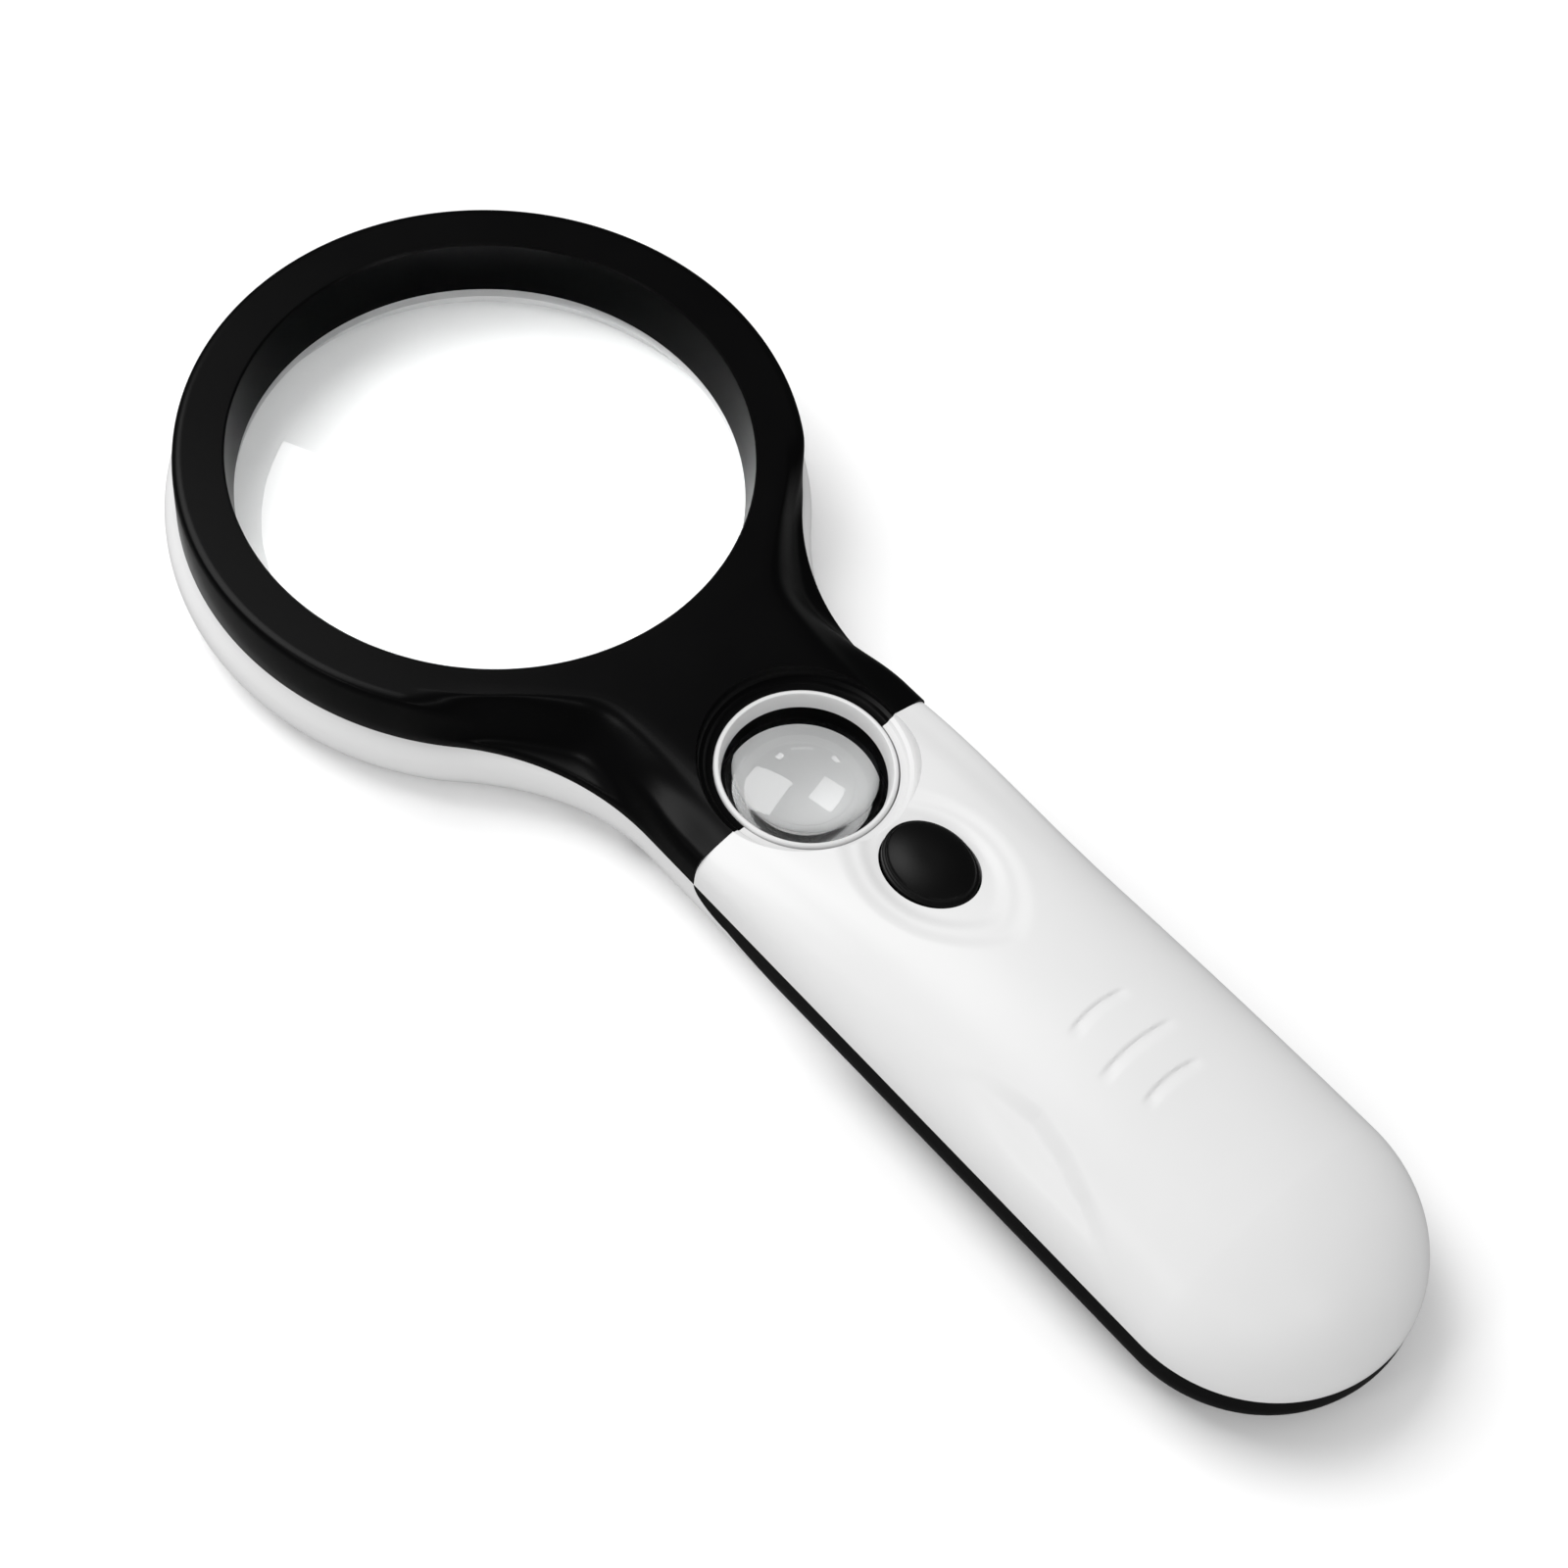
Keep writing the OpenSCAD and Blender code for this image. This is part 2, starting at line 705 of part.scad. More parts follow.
module lamp_board() {
    color([0.1, 0.35, 0.18]) placed() intersection() {
        difference() {
            translate([0, 0, lamp_board_z]) cylinder(r = lamp_arc_r + 2.9, h = 1);
            translate([0, 0, lamp_board_z - 1]) cylinder(r = ring_r + 0.3, h = 3);
        }
        translate([-16, -50, 0]) cube([32, 20, 5]);
        translate([0, 0, -1]) linear_extrude(8) neck_plan(wall + 0.4);
    }
}

// Round-headed lamp pointing down through the rear frame, on two legs
module lamp(angle) {
    flange_z = lamp_board_z - 3.4;
    tip_z = -rear_depth + lamp_r + 0.4;
    color([0.95, 0.96, 0.98, 0.6]) placed() rotate(angle) translate([0, -lamp_arc_r, 0]) {
        translate([0, 0, flange_z - 1]) cylinder(r = lamp_r + 0.15, h = 1);
        translate([0, 0, tip_z]) cylinder(r = lamp_r, h = flange_z - tip_z - 0.5);
        translate([0, 0, tip_z]) sphere(lamp_r);
        for (x = [-1.27, 1.27])
            translate([x - 0.25, -0.25, flange_z - eps]) cube([0.5, 0.5, lamp_board_z - flange_z + eps]);
    }
}

module lamp_left() lamp(-lamp_angle);
module lamp_centre() lamp(0);
module lamp_right() lamp(lamp_angle);

// Routes of the leads as [x, y, z] points in the ring's own frame
LAMP_LEAD = [[8, -43, 0.7], [10.1, -46.2, 0.6], [10.8, -48.9, 0.6], [12.4, -51.2, 0.5], [14.8, -54.5, 0.5],
    [15, -60, 0.5], [13.4, -65.5, 0.6], [8.2, -69.3, 0.9], [6.4, -72.6, 1.1]];
BATTERY_LEAD_RED = [[-11, -87.5, 5.2], [-10.2, -86.6, 4.6], [-8.4, -85.6, 2.6], [-6.8, -84.3, 1.4],
    [-6.6, -81.5, 1.1]];
BATTERY_LEAD_BLACK = [[10, -140.3, 0], [10.1, -140.4, 4.4], [10.1, -139.9, 6], [10.2, -137.4, 6.3],
    [10.2, -110, 6.2], [10, -92, 6.1], [8.8, -87.4, 5.8], [7.4, -85.4, 3.2], [6.6, -83.6, 1.4], [6.5, -81, 1.1]];

// Round insulated lead through a route's points; side mirrors it across the handle
module lead(route, side = 1, r = 0.45, sides = 8) {
    n = len(route) - 1;
    p = [for (q = route) [side * q[0], q[1], q[2]]];
    dir = [for (i = [0:n]) let (d = p[min(i + 1, n)] - p[max(i - 1, 0)]) d / norm(d)];
    across = [for (i = [0:n]) let (c = cross(dir[i], [0.3, 0.1, 1])) c / norm(c)];
    pts = [for (i = [0:n]) let (v = cross(across[i], dir[i])) for (j = [0:sides - 1])
        p[i] + r * cos(360 * j / sides) * across[i] + r * sin(360 * j / sides) * v];
    faces = concat([[for (j = [sides - 1:-1:0]) j]],
        [for (i = [0:n - 1]) for (j = [0:sides - 1]) let (k = (j + 1) % sides)
            [i * sides + j, i * sides + k, (i + 1) * sides + k, (i + 1) * sides + j]],
        [[for (j = [0:sides - 1]) n * sides + j]]);
    polyhedron(pts, faces, convexity = 4);
}

module lamp_lead_red() color([0.7, 0.08, 0.06]) placed() lead(LAMP_LEAD, side = -1);
module lamp_lead_black() color([0.05, 0.05, 0.05]) placed() lead(LAMP_LEAD);
module battery_lead_red() color([0.7, 0.08, 0.06]) placed() lead(BATTERY_LEAD_RED);
module battery_lead_black() color([0.05, 0.05, 0.05]) placed() lead(BATTERY_LEAD_BLACK);

module shell_screws() {
    head_low = -rear_depth + 1.4;
    color(STEEL) placed() for (p = screw_places) translate([p[0], -p[1], 0]) difference() {
        union() {
            translate([0, 0, head_low]) cylinder(r = screw_head_r, h = 1.5);
            translate([0, 0, head_low + 1.4]) cylinder(r = screw_r, h = 4.2 - head_low - 1.4);
        }
        for (a = [0, 90]) rotate(a)
            translate([-1.3, -0.25, head_low - 1]) cube([2.6, 0.5, 1.7]);
    }
}

front_head_frame();
rear_head_frame();
front_handle_cover();
rear_handle_cover();
battery_door();
battery_tray();
main_lens();
small_lens();
small_lens_collar();
power_button();
switch_plunger();
switch_spring();
switch_body();
circuit_board();
resistors();
lamp_board();
lamp_left();
lamp_centre();
lamp_right();
lamp_lead_red();
lamp_lead_black();
battery_lead_red();
battery_lead_black();
cell_left();
cell_middle();
cell_right();
cell_spring_left();
cell_spring_middle();
cell_spring_right();
positive_contact();
front_bridge_contact();
rear_bridge_contact();
negative_contact();
shell_screws();
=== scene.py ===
"""Looks of the illuminated hand magnifier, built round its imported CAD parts.

Shapes are worked out in the head's own frame: the large lens is centred on x = y = 0, the
parting plane between front and rear shells is z = 0 and the handle runs towards -y.
"""
import json
import math

import bmesh
import bpy
import numpy as np
from mathutils import Matrix, Vector


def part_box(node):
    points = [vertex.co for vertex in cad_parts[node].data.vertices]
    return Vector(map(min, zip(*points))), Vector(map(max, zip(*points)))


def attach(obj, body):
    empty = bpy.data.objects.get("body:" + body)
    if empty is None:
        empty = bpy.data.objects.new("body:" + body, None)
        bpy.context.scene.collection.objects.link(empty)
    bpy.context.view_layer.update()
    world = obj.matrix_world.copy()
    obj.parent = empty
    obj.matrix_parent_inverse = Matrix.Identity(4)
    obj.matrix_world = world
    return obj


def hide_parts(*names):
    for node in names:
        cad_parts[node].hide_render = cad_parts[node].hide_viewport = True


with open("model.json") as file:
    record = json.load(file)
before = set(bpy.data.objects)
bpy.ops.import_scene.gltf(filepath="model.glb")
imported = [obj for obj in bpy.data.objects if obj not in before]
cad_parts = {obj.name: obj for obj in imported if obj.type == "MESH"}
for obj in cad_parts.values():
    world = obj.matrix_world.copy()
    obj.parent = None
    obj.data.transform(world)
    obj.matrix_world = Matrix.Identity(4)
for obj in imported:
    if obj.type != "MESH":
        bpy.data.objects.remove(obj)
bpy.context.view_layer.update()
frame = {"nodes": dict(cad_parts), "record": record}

MM = 0.001

# ---------------------------------------------------------------- sizes from the frame, in metres

lens_low, lens_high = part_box("main_lens")
small_low, small_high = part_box("small_lens_collar")
cap_low, cap_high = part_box("power_button")
door_low, door_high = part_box("battery_door")
front_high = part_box("front_head_frame")[1]
rear_low, rear_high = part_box("rear_head_frame")
cover_low, cover_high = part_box("front_handle_cover")

HEAD_Y = (lens_low[1] + lens_high[1]) / 2          # ring centre
PART_Z = cover_low[2]                              # parting plane
DEPTH = PART_Z - rear_low[2]                       # rear shells below the parting plane
RING_R = front_high[1] - HEAD_Y
RING_TOP = front_high[2] - PART_Z
BULGE = rear_high[1] - front_high[1]
SEAM_GAP = 0.05 * MM
SEAM_Y = cover_high[1] + SEAM_GAP - HEAD_Y         # joint between the front shells
TAIL_R = cover_high[0]
TAIL_Y = cover_low[1] + TAIL_R - HEAD_Y
CROWN = cover_high[2] - PART_Z
SMALL_Y = (small_low[1] + small_high[1]) / 2 - HEAD_Y
COLLAR_R = small_high[0]
COLLAR_TOP = small_high[2] - PART_Z
BUTTON_Y = (cap_low[1] + cap_high[1]) / 2 - HEAD_Y
BUTTON_TOP = cap_high[2] - PART_Z

# ---------------------------------------------------------------- sizes of the visible shapes

NECK_HALF = 18.1 * MM        # half width of the handle at the neck
FILLET_Y = -50 * MM
LAND_R = 35.7 * MM           # outer edge of the ring's flat land
WALL = 1.8 * MM
CORNER_R = 6.7 * MM          # rear shells' long edges

FILLET_R = (NECK_HALF**2 + FILLET_Y**2 - RING_R**2) / (2 * (RING_R - NECK_HALF))
FILLET_X = NECK_HALF + FILLET_R
TOUCH = math.atan2(FILLET_X, -FILLET_Y)            # angle from -y at which the fillet meets the ring


# ---------------------------------------------------------------- small maths

def smoothstep(low, high, value):
    t = np.clip((np.asarray(value, float) - low) / (high - low), 0, 1)
    return t * t * (3 - 2 * t)


def rounded(points, rounds=4):
    """Cuts the corners of an open polyline again and again, which leaves a smooth curve."""
    p = np.array(points, float)
    for _ in range(rounds):
        near = 0.75 * p[:-1] + 0.25 * p[1:]
        far = 0.25 * p[:-1] + 0.75 * p[1:]
        inner = np.empty((2 * len(near), p.shape[1]))
        inner[0::2] = near
        inner[1::2] = far
        p = np.vstack([p[:1], inner[1:-1], p[-1:]])
    return p


def resampled(points, count):
    """The same polyline with count points, evenly spaced along it."""
    p = np.array(points, float)
    steps = np.linalg.norm(np.diff(p, axis=0), axis=1)
    along = np.concatenate([[0], np.cumsum(steps)])
    wanted = np.linspace(0, along[-1], count)
    return np.stack([np.interp(wanted, along, p[:, i]) for i in range(p.shape[1])], axis=1)


def arc(cx, cy, r, start, end, count):
    t = np.radians(np.linspace(start, end, count))
    return np.stack([cx + r * np.cos(t), cy + r * np.sin(t)], axis=1)


# ---------------------------------------------------------------- mesh making

def new_piece(name, verts, faces):
    """A mesh object from points in the head's frame, with coincident points merged."""
    mesh = bpy.data.meshes.new(name)
    moved = np.asarray(verts, float) + np.array([0, HEAD_Y, PART_Z])
    mesh.from_pydata(moved.tolist(), [], [list(map(int, f)) for f in faces])
    piece = bpy.data.objects.new(name, mesh)
    bpy.context.scene.collection.objects.link(piece)
    bm = bmesh.new()
    bm.from_mesh(mesh)
    bmesh.ops.remove_doubles(bm, verts=bm.verts, dist=1e-6)
    bmesh.ops.dissolve_degenerate(bm, dist=1e-7, edges=bm.edges)
    bmesh.ops.recalc_face_normals(bm, faces=bm.faces)
    bm.to_mesh(mesh)
    bm.free()
    return piece


def loft(name, rows, cap_start=False):
    """A body from rows of points whose two ends are joined by a flat floor."""
    rows = np.asarray(rows, float)
    n, m = rows.shape[:2]
    verts = rows.reshape(-1, 3)
    faces = [(i * m + j, i * m + j + 1, (i + 1) * m + j + 1, (i + 1) * m + j)
             for i in range(n - 1) for j in range(m - 1)]
    faces.append([i * m for i in range(n)] + [i * m + m - 1 for i in range(n - 1, -1, -1)])
    if cap_start:
        faces.append(list(range(m)))
    return new_piece(name, verts, faces)


def turned(name, profile, centre=(0, 0), segments=160, closed=False):
    """A body of revolution about a vertical axis. profile is [r, z]; closed joins its ends."""
    p = np.asarray(profile, float)
    if closed:
        p = np.vstack([p, p[:1]])
    angles = np.linspace(0, 2 * np.pi, segments, endpoint=False)
    m = len(p)
    verts = [(centre[0] + r * math.cos(a), centre[1] + r * math.sin(a), z) for a in angles for r, z in p]
    faces = [(i * m + j, ((i + 1) % segments) * m + j, ((i + 1) % segments) * m + j + 1, i * m + j + 1)
             for i in range(segments) for j in range(m - 1)]
    return new_piece(name, verts, faces)


def prism(name, outline, z0, z1):
    """An upright body over a closed plan outline."""
    pts = np.asarray(outline, float)
    n = len(pts)
    verts = [(x, y, z) for z in (z0, z1) for x, y in pts]
    faces = [list(range(n - 1, -1, -1)), list(range(n, 2 * n))]
    faces += [(i, (i + 1) % n, n + (i + 1) % n, n + i) for i in range(n)]
    return new_piece(name, verts, faces)


def across(name, outline, half):
    """A body with a [y, z] outline, swept across the width."""
    pts = np.asarray(outline, float)
    n = len(pts)
    verts = [(x, y, z) for x in (-half, half) for y, z in pts]
    faces = [list(range(n - 1, -1, -1)), list(range(n, 2 * n))]
    faces += [(i, (i + 1) % n, n + (i + 1) % n, n + i) for i in range(n)]
    return new_piece(name, verts, faces)


def boolean(piece, tool, kind="DIFFERENCE"):
    """Cuts piece with tool, or joins or crosses them, and throws the tool away."""
    mod = piece.modifiers.new("cut", "BOOLEAN")
    mod.operation = kind
    mod.solver = "EXACT"
    mod.object = tool
    depsgraph = bpy.context.evaluated_depsgraph_get()
    mesh = bpy.data.meshes.new_from_object(piece.evaluated_get(depsgraph))
    piece.modifiers.remove(mod)
    old = piece.data
    piece.data = mesh
    bpy.data.meshes.remove(old)
    tool_mesh = tool.data
    bpy.data.objects.remove(tool)
    bpy.data.meshes.remove(tool_mesh)


def finish_shading(piece, angle=32):
    for poly in piece.data.polygons:
        poly.use_smooth = True
    piece.data.set_sharp_from_angle(angle=math.radians(angle))


# ---------------------------------------------------------------- outline of the whole plan

def outline_half():
    """Right half of the parting outline, from the tail's tip to the head's tip."""
    tail = arc(0, TAIL_Y, TAIL_R, -90, 0, 60)
    side_y = np.linspace(TAIL_Y, FILLET_Y, 70)
    side = np.stack([half_width(side_y), side_y], axis=1)
    fillet = arc(FILLET_X, FILLET_Y, FILLET_R, 180, 90 + math.degrees(TOUCH), 50)
    ring = arc(0, 0, RING_R, math.degrees(TOUCH) - 90, 90, 130)
    return np.vstack([tail, side[1:], fillet[1:], ring[1:]])


def outward(points):
    """Unit normals of an outline that runs with its inside on the left."""
    step = np.gradient(points, axis=0)
    normal = np.stack([step[:, 1], -step[:, 0]], axis=1)
    return normal / np.linalg.norm(normal, axis=1)[:, None]


def half_width(y):
    """Half width of the handle, which tapers evenly from the tail to the neck."""
    return np.interp(y, [TAIL_Y, FILLET_Y], [TAIL_R, NECK_HALF])


def ringness(points):
    """0 along the handle, 1 round the head, turning smoothly along the neck."""
    return smoothstep(-50 * MM, -24 * MM, points[:, 1])


def mirrored(right):
    """A full row from its right half: the half's first point ends up at both ends."""
    left = right.copy()
    left[:, 0] *= -1
    return np.vstack([left, right[::-1]])


# ---------------------------------------------------------------- rear shells

def rear_profile(ring, inset=0.0):
    """Points [outward, z] down the side and in under the floor, for one ring weight."""
    r = CORNER_R - inset
    low = -DEPTH + inset
    handle = np.vstack([[[0, 0]], arc(-r, low + r, r, 0, -90, 24), [[-r - 1.2 * MM, low]]])
    head = rounded([(0, 0), (0.55 * BULGE, -0.5 * MM), (1.12 * BULGE, -2.2 * MM),
                    (1.04 * BULGE, -5.0 * MM), (-0.1 * MM, -8.2 * MM), (-2.2 * MM, -DEPTH),
                    (-5.2 * MM, -DEPTH)])
    head[:, 1] += inset * smoothstep(0, -DEPTH / 3, head[:, 1])
    count = 44
    return resampled(handle, count) * (1 - ring) + resampled(head, count) * ring


def rear_body(name, inset=0.0):
    """Both rear shells as one closed body, with its skin drawn in by inset."""
    points = outline_half()
    normals = outward(points)
    normals[0] = (0, -1)
    normals[-1] = (0, 1)
    rows = []
    for point, normal, ring in zip(points, normals, ringness(points)):
        profile = rear_profile(ring, inset)
        plan = point + normal * (profile[:, :1] - inset)
        right = np.column_stack([plan, profile[:, 1]])
        right[:, 0] = np.maximum(right[:, 0], 0)
        rows.append(mirrored(right))
    return loft(name, rows)


def seam_tool(name, grow=0.0):
    """Everything that belongs to the head: past the seam, and under a slope below the handle."""
    run = 6 * MM
    drop = 2.8 * MM
    end = SEAM_Y - 32.6 * MM
    step = [(SEAM_Y - grow - run * (1 - math.cos(a)), -(drop - grow) * math.sin(a))
            for a in np.radians(np.linspace(0, 90, 14))]
    outline = [(60 * MM, -30 * MM), (60 * MM, 30 * MM), (SEAM_Y - grow, 30 * MM)]
    outline += step + [(end - grow, -3 * drop + grow), (end - grow, -30 * MM)]
    return across(name, outline, 60 * MM)


# ---------------------------------------------------------------- front head frame

def ridge_half():
    """The plateau's edge in plan: the ring's land, then the neck."""
    turns = np.radians(np.linspace(180, 36, 60))
    on_ring = np.stack([LAND_R * np.sin(turns), -LAND_R * np.cos(turns)], axis=1)
    neck = rounded([on_ring[-1], (16.6 * MM, -32.4 * MM), (12.2 * MM, -36.6 * MM), (11.5 * MM, -44 * MM),
                    (11.4 * MM, -52 * MM), (11.8 * MM, -64 * MM)], 3)
    return resampled(np.vstack([on_ring, neck[1:]]), 1200)


def flank(points):
    """A smooth flank from [share of the way out from the ridge, share of the height] points."""
    return resampled(rounded(points, 4), 60)


FLANK_RING = flank([(0, 1), (0.35, 1), (0.72, 1), (1, 0.95), (1, 0.72), (1, 0.36), (1, 0)])
FLANK_SCOOP = flank([(0, 1), (0.08, 0.995), (0.2, 0.924), (0.32, 0.783), (0.44, 0.605), (0.56, 0.425),
                     (0.7, 0.256), (0.86, 0.185), (0.985, 0.165), (1, 0.1), (1, 0)])
FLANK_SEAM = flank([(0, 0.985), (0.15, 0.94), (0.3, 0.865), (0.45, 0.81), (0.65, 0.77), (0.86, 0.72),
                    (0.985, 0.56), (1, 0.3), (1, 0)])


def turn_index(points):
    """The point of a half outline that lies on the ring, 60 degrees round from the neck."""
    angle = np.degrees(np.arctan2(points[:, 0], -points[:, 1]))
    return np.argmin(np.abs(angle - 60) + (points[:, 1] > 0) * 99)


def plateau_z(y):
    """Height of the neck's top, which falls gently from the ring to the seam."""
    return RING_TOP - 0.9 * MM * smoothstep(-34 * MM, SEAM_Y, y)


def head_rows(inset=0.0):
    """Rows across the front head frame, from beyond the seam to the head's tip."""
    ends_y = SEAM_Y - 4 * MM
    half = outline_half()
    half = half[half[:, 1] > ends_y]
    ridge = ridge_half()[::-1]
    ridge = ridge[ridge[:, 1] > ends_y]
    # Ridge and outline are paired at the turn; on either side of it both run evenly
    turn = turn_index(ridge)
    ridge_line = np.vstack([resampled(ridge[:turn + 1], 90)[:-1], resampled(ridge[turn:], 110)])
    turn = turn_index(half)
    outer_line = np.vstack([resampled(half[:turn + 1], 90)[:-1], resampled(half[turn:], 110)])
    outer_line = outer_line - outward(outer_line) * inset
    rows = []
    for a, b in zip(ridge_line, outer_line):
        phi = math.degrees(math.atan2(b[0], -b[1]))
        scoop = 1 - smoothstep(40, 56, phi)
        seam = 1 - smoothstep(SEAM_Y + 3 * MM, SEAM_Y + 21 * MM, b[1])
        shape = FLANK_RING * (1 - scoop) + FLANK_SCOOP * scoop
        shape = shape * (1 - seam) + FLANK_SEAM * seam
        top = plateau_z(a[1]) - inset
        side = np.column_stack([a + (b - a) * shape[:, :1], shape[:, 1] * top])
        land = [(a[0] * share, a[1], top) for share in (0.8, 0.9)]
        right = np.vstack([land, side])[::-1]
        right[:, 0] = np.maximum(right[:, 0], 0)
        rows.append(mirrored(right))
    return rows


# ---------------------------------------------------------------- front handle cover

def crown_z(y):
    """Top line of the handle: one long arc with its crest at the grip."""
    crest = -112 * MM
    radius = 228 * MM
    return CROWN - (y - crest) ** 2 / (2 * radius)


def cover_section(y, count=110):
    """Half a section as [x share, height] from the side up to the middle."""
    low = [(1, 0), (1, 0.28), (0.985, 0.5), (0.94, 0.65), (0.86, 0.735), (0.77, 0.8), (0.69, 0.875),
           (0.6, 0.935), (0.3, 0.985), (0, 1)]
    boxy = resampled(rounded(low, 3), count)
    t = np.radians(np.linspace(0, 90, 60))
    power = 0.94
    oval = resampled(np.stack([np.cos(t) ** power, np.sin(t) ** power], axis=1), count)
    weight = float(smoothstep(SEAM_Y, -92 * MM, y))
    return boxy * (1 - weight) + oval * weight


def thumb_scoop(x, y):
    """How far the left flank beside the grip is sunk, behind a crease that bows towards the middle."""
    crease_y = np.array([-130, -125.5, -122.5, -118, -113.2, -107.7, -100, -96.5, -90]) * MM
    crease_x = np.array([20.5, 17.6, 16.5, 14.5, 13.0, 12.0, 12.6, 14.5, 18.0]) * MM
    line = np.interp(y, crease_y, crease_x)
    width = np.interp(y, np.array([-124, -98]) * MM, np.array([1.1, 2.4]) * MM)
    past = smoothstep(0, 1, (-x - line) / width + 0.2)
    fade = smoothstep(-94 * MM, -112 * MM, y) * smoothstep(-128 * MM, -121 * MM, y)
    regained = smoothstep(0.8, 0.97, -x / half_width(y))
    return 1.35 * MM * past * fade * (1 - regained)


def grip_groove(x, y):
    """Depth of the three short curved grooves across the grip."""
    depth = np.zeros_like(x)
    for middle, reach in ((-103.1 * MM, 4.5 * MM), (-109.1 * MM, 5.9 * MM), (-114.4 * MM, 4.5 * MM)):
        bend = middle - 0.6 * MM * (x / reach) ** 2
        away = (y - bend) / MM
        wall = smoothstep(0.5, 0.05, away) * smoothstep(-1.5, 0.05, away)
        ends = smoothstep(1.05, 0.65, np.abs(x) / reach)
        depth += 0.28 * MM * wall * ends
    return depth


def pointed_oval(x, y, half, reach, soft):
    """1 inside a pointed oval round the button, 0 outside, with a soft edge."""
    r = (reach**2 + half**2) / (2 * half)
    blunt = 1.2 * MM
    side = np.sqrt(x**2 + blunt**2) - 0.4 * blunt
    inside = r - np.hypot(side + r - half, y - BUTTON_Y + 0.4 * MM)
    return smoothstep(0, soft, inside)


def button_recess(x, y):
    """Depth of the stepped hollow round the button."""
    outer = pointed_oval(x, y, 8.9 * MM, 14.6 * MM, 2.0 * MM)
    inner = pointed_oval(x, y, 7.0 * MM, 11.2 * MM, 1.9 * MM)
    return 0.5 * MM * outer + 0.6 * MM * inner


def cover_rows(inset=0.0):
    """Rows across the handle cover: level sections, then rays round the tail's centre."""
    head_end = SEAM_Y + 4 * MM
    y_rows = np.concatenate([np.arange(head_end, -100 * MM, -0.45 * MM),
                             np.arange(-100 * MM, -118 * MM, -0.2 * MM),
                             np.arange(-118 * MM, TAIL_Y, -0.5 * MM)])
    rows = []
    for y in y_rows:
        section = cover_section(y)
        x = section[:, 0] * (half_width(y) - inset)
        z = section[:, 1] * (crown_z(y) - inset)
        rows.append(dressed(np.column_stack([x, np.full_like(x, y), z]), inset))
    for phi in np.radians(np.linspace(90, 0, 70)):
        section = cover_section(TAIL_Y)
        r = section[:, 0] * (TAIL_R - inset)
        x = r * math.sin(phi)
        y = TAIL_Y - r * math.cos(phi)
        top = crown_z(TAIL_Y) + (crown_z(TAIL_Y - TAIL_R) - crown_z(TAIL_Y)) * (TAIL_Y - y) / TAIL_R
        z = section[:, 1] * (top - inset)
        rows.append(dressed(np.column_stack([x, y, z]), inset))
    return rows


def dressed(right, inset):
    """A full row from its right half, with the grip's details pressed into the outer skin."""
    row = mirrored(right)
    if inset == 0:
        x, y = row[:, 0], row[:, 1]
        row[:, 2] -= grip_groove(x, y) + button_recess(x, y) + thumb_scoop(x, y)
    return row


# ---------------------------------------------------------------- materials

def plain_material(name):
    material = bpy.data.materials.new(name)
    material.use_nodes = True
    nodes = material.node_tree.nodes
    shader = next(n for n in nodes if n.type == "BSDF_PRINCIPLED")
    return material, nodes, material.node_tree.links, shader


def moulded(name, dark, light, rough, spread, grain, bump, specular):
    """Moulded plastic: faint cloudy colour and gloss, and a fine grain from the mould."""
    material, nodes, links, shader = plain_material(name)
    coords = nodes.new("ShaderNodeTexCoord")
    cloud = nodes.new("ShaderNodeTexNoise")
    cloud.inputs["Scale"].default_value = 90
    cloud.inputs["Detail"].default_value = 4
    links.new(coords.outputs["Object"], cloud.inputs["Vector"])
    tint = nodes.new("ShaderNodeMixRGB")
    tint.inputs["Color1"].default_value = (*dark, 1)
    tint.inputs["Color2"].default_value = (*light, 1)
    links.new(cloud.outputs["Fac"], tint.inputs["Fac"])
    links.new(tint.outputs["Color"], shader.inputs["Base Color"])
    gloss = nodes.new("ShaderNodeMapRange")
    gloss.inputs["To Min"].default_value = rough - spread
    gloss.inputs["To Max"].default_value = rough + spread
    links.new(cloud.outputs["Fac"], gloss.inputs["Value"])
    links.new(gloss.outputs["Result"], shader.inputs["Roughness"])
    fine = nodes.new("ShaderNodeTexNoise")
    fine.inputs["Scale"].default_value = grain
    fine.inputs["Detail"].default_value = 3
    links.new(coords.outputs["Object"], fine.inputs["Vector"])
    relief = nodes.new("ShaderNodeBump")
    relief.inputs["Strength"].default_value = bump
    relief.inputs["Distance"].default_value = 0.00002
    links.new(fine.outputs["Fac"], relief.inputs["Height"])
    links.new(relief.outputs["Normal"], shader.inputs["Normal"])
    shader.inputs["Specular IOR Level"].default_value = specular
    return material


def plated(name, dark, light, rough, stretch):
    """Plated steel with fine drawn lines."""
    material, nodes, links, shader = plain_material(name)
    coords = nodes.new("ShaderNodeTexCoord")
    mapping = nodes.new("ShaderNodeMapping")
    mapping.inputs["Scale"].default_value = stretch
    links.new(coords.outputs["Object"], mapping.inputs["Vector"])
    lines = nodes.new("ShaderNodeTexNoise")
    lines.inputs["Scale"].default_value = 600
    lines.inputs["Detail"].default_value = 5
    links.new(mapping.outputs["Vector"], lines.inputs["Vector"])
    tint = nodes.new("ShaderNodeMixRGB")
    tint.inputs["Color1"].default_value = (*dark, 1)
    tint.inputs["Color2"].default_value = (*light, 1)
    links.new(lines.outputs["Fac"], tint.inputs["Fac"])
    links.new(tint.outputs["Color"], shader.inputs["Base Color"])
    gloss = nodes.new("ShaderNodeMapRange")
    gloss.inputs["To Min"].default_value = rough * 0.7
    gloss.inputs["To Max"].default_value = rough * 1.3
    links.new(lines.outputs["Fac"], gloss.inputs["Value"])
    links.new(gloss.outputs["Result"], shader.inputs["Roughness"])
    shader.inputs["Metallic"].default_value = 1.0
    return material


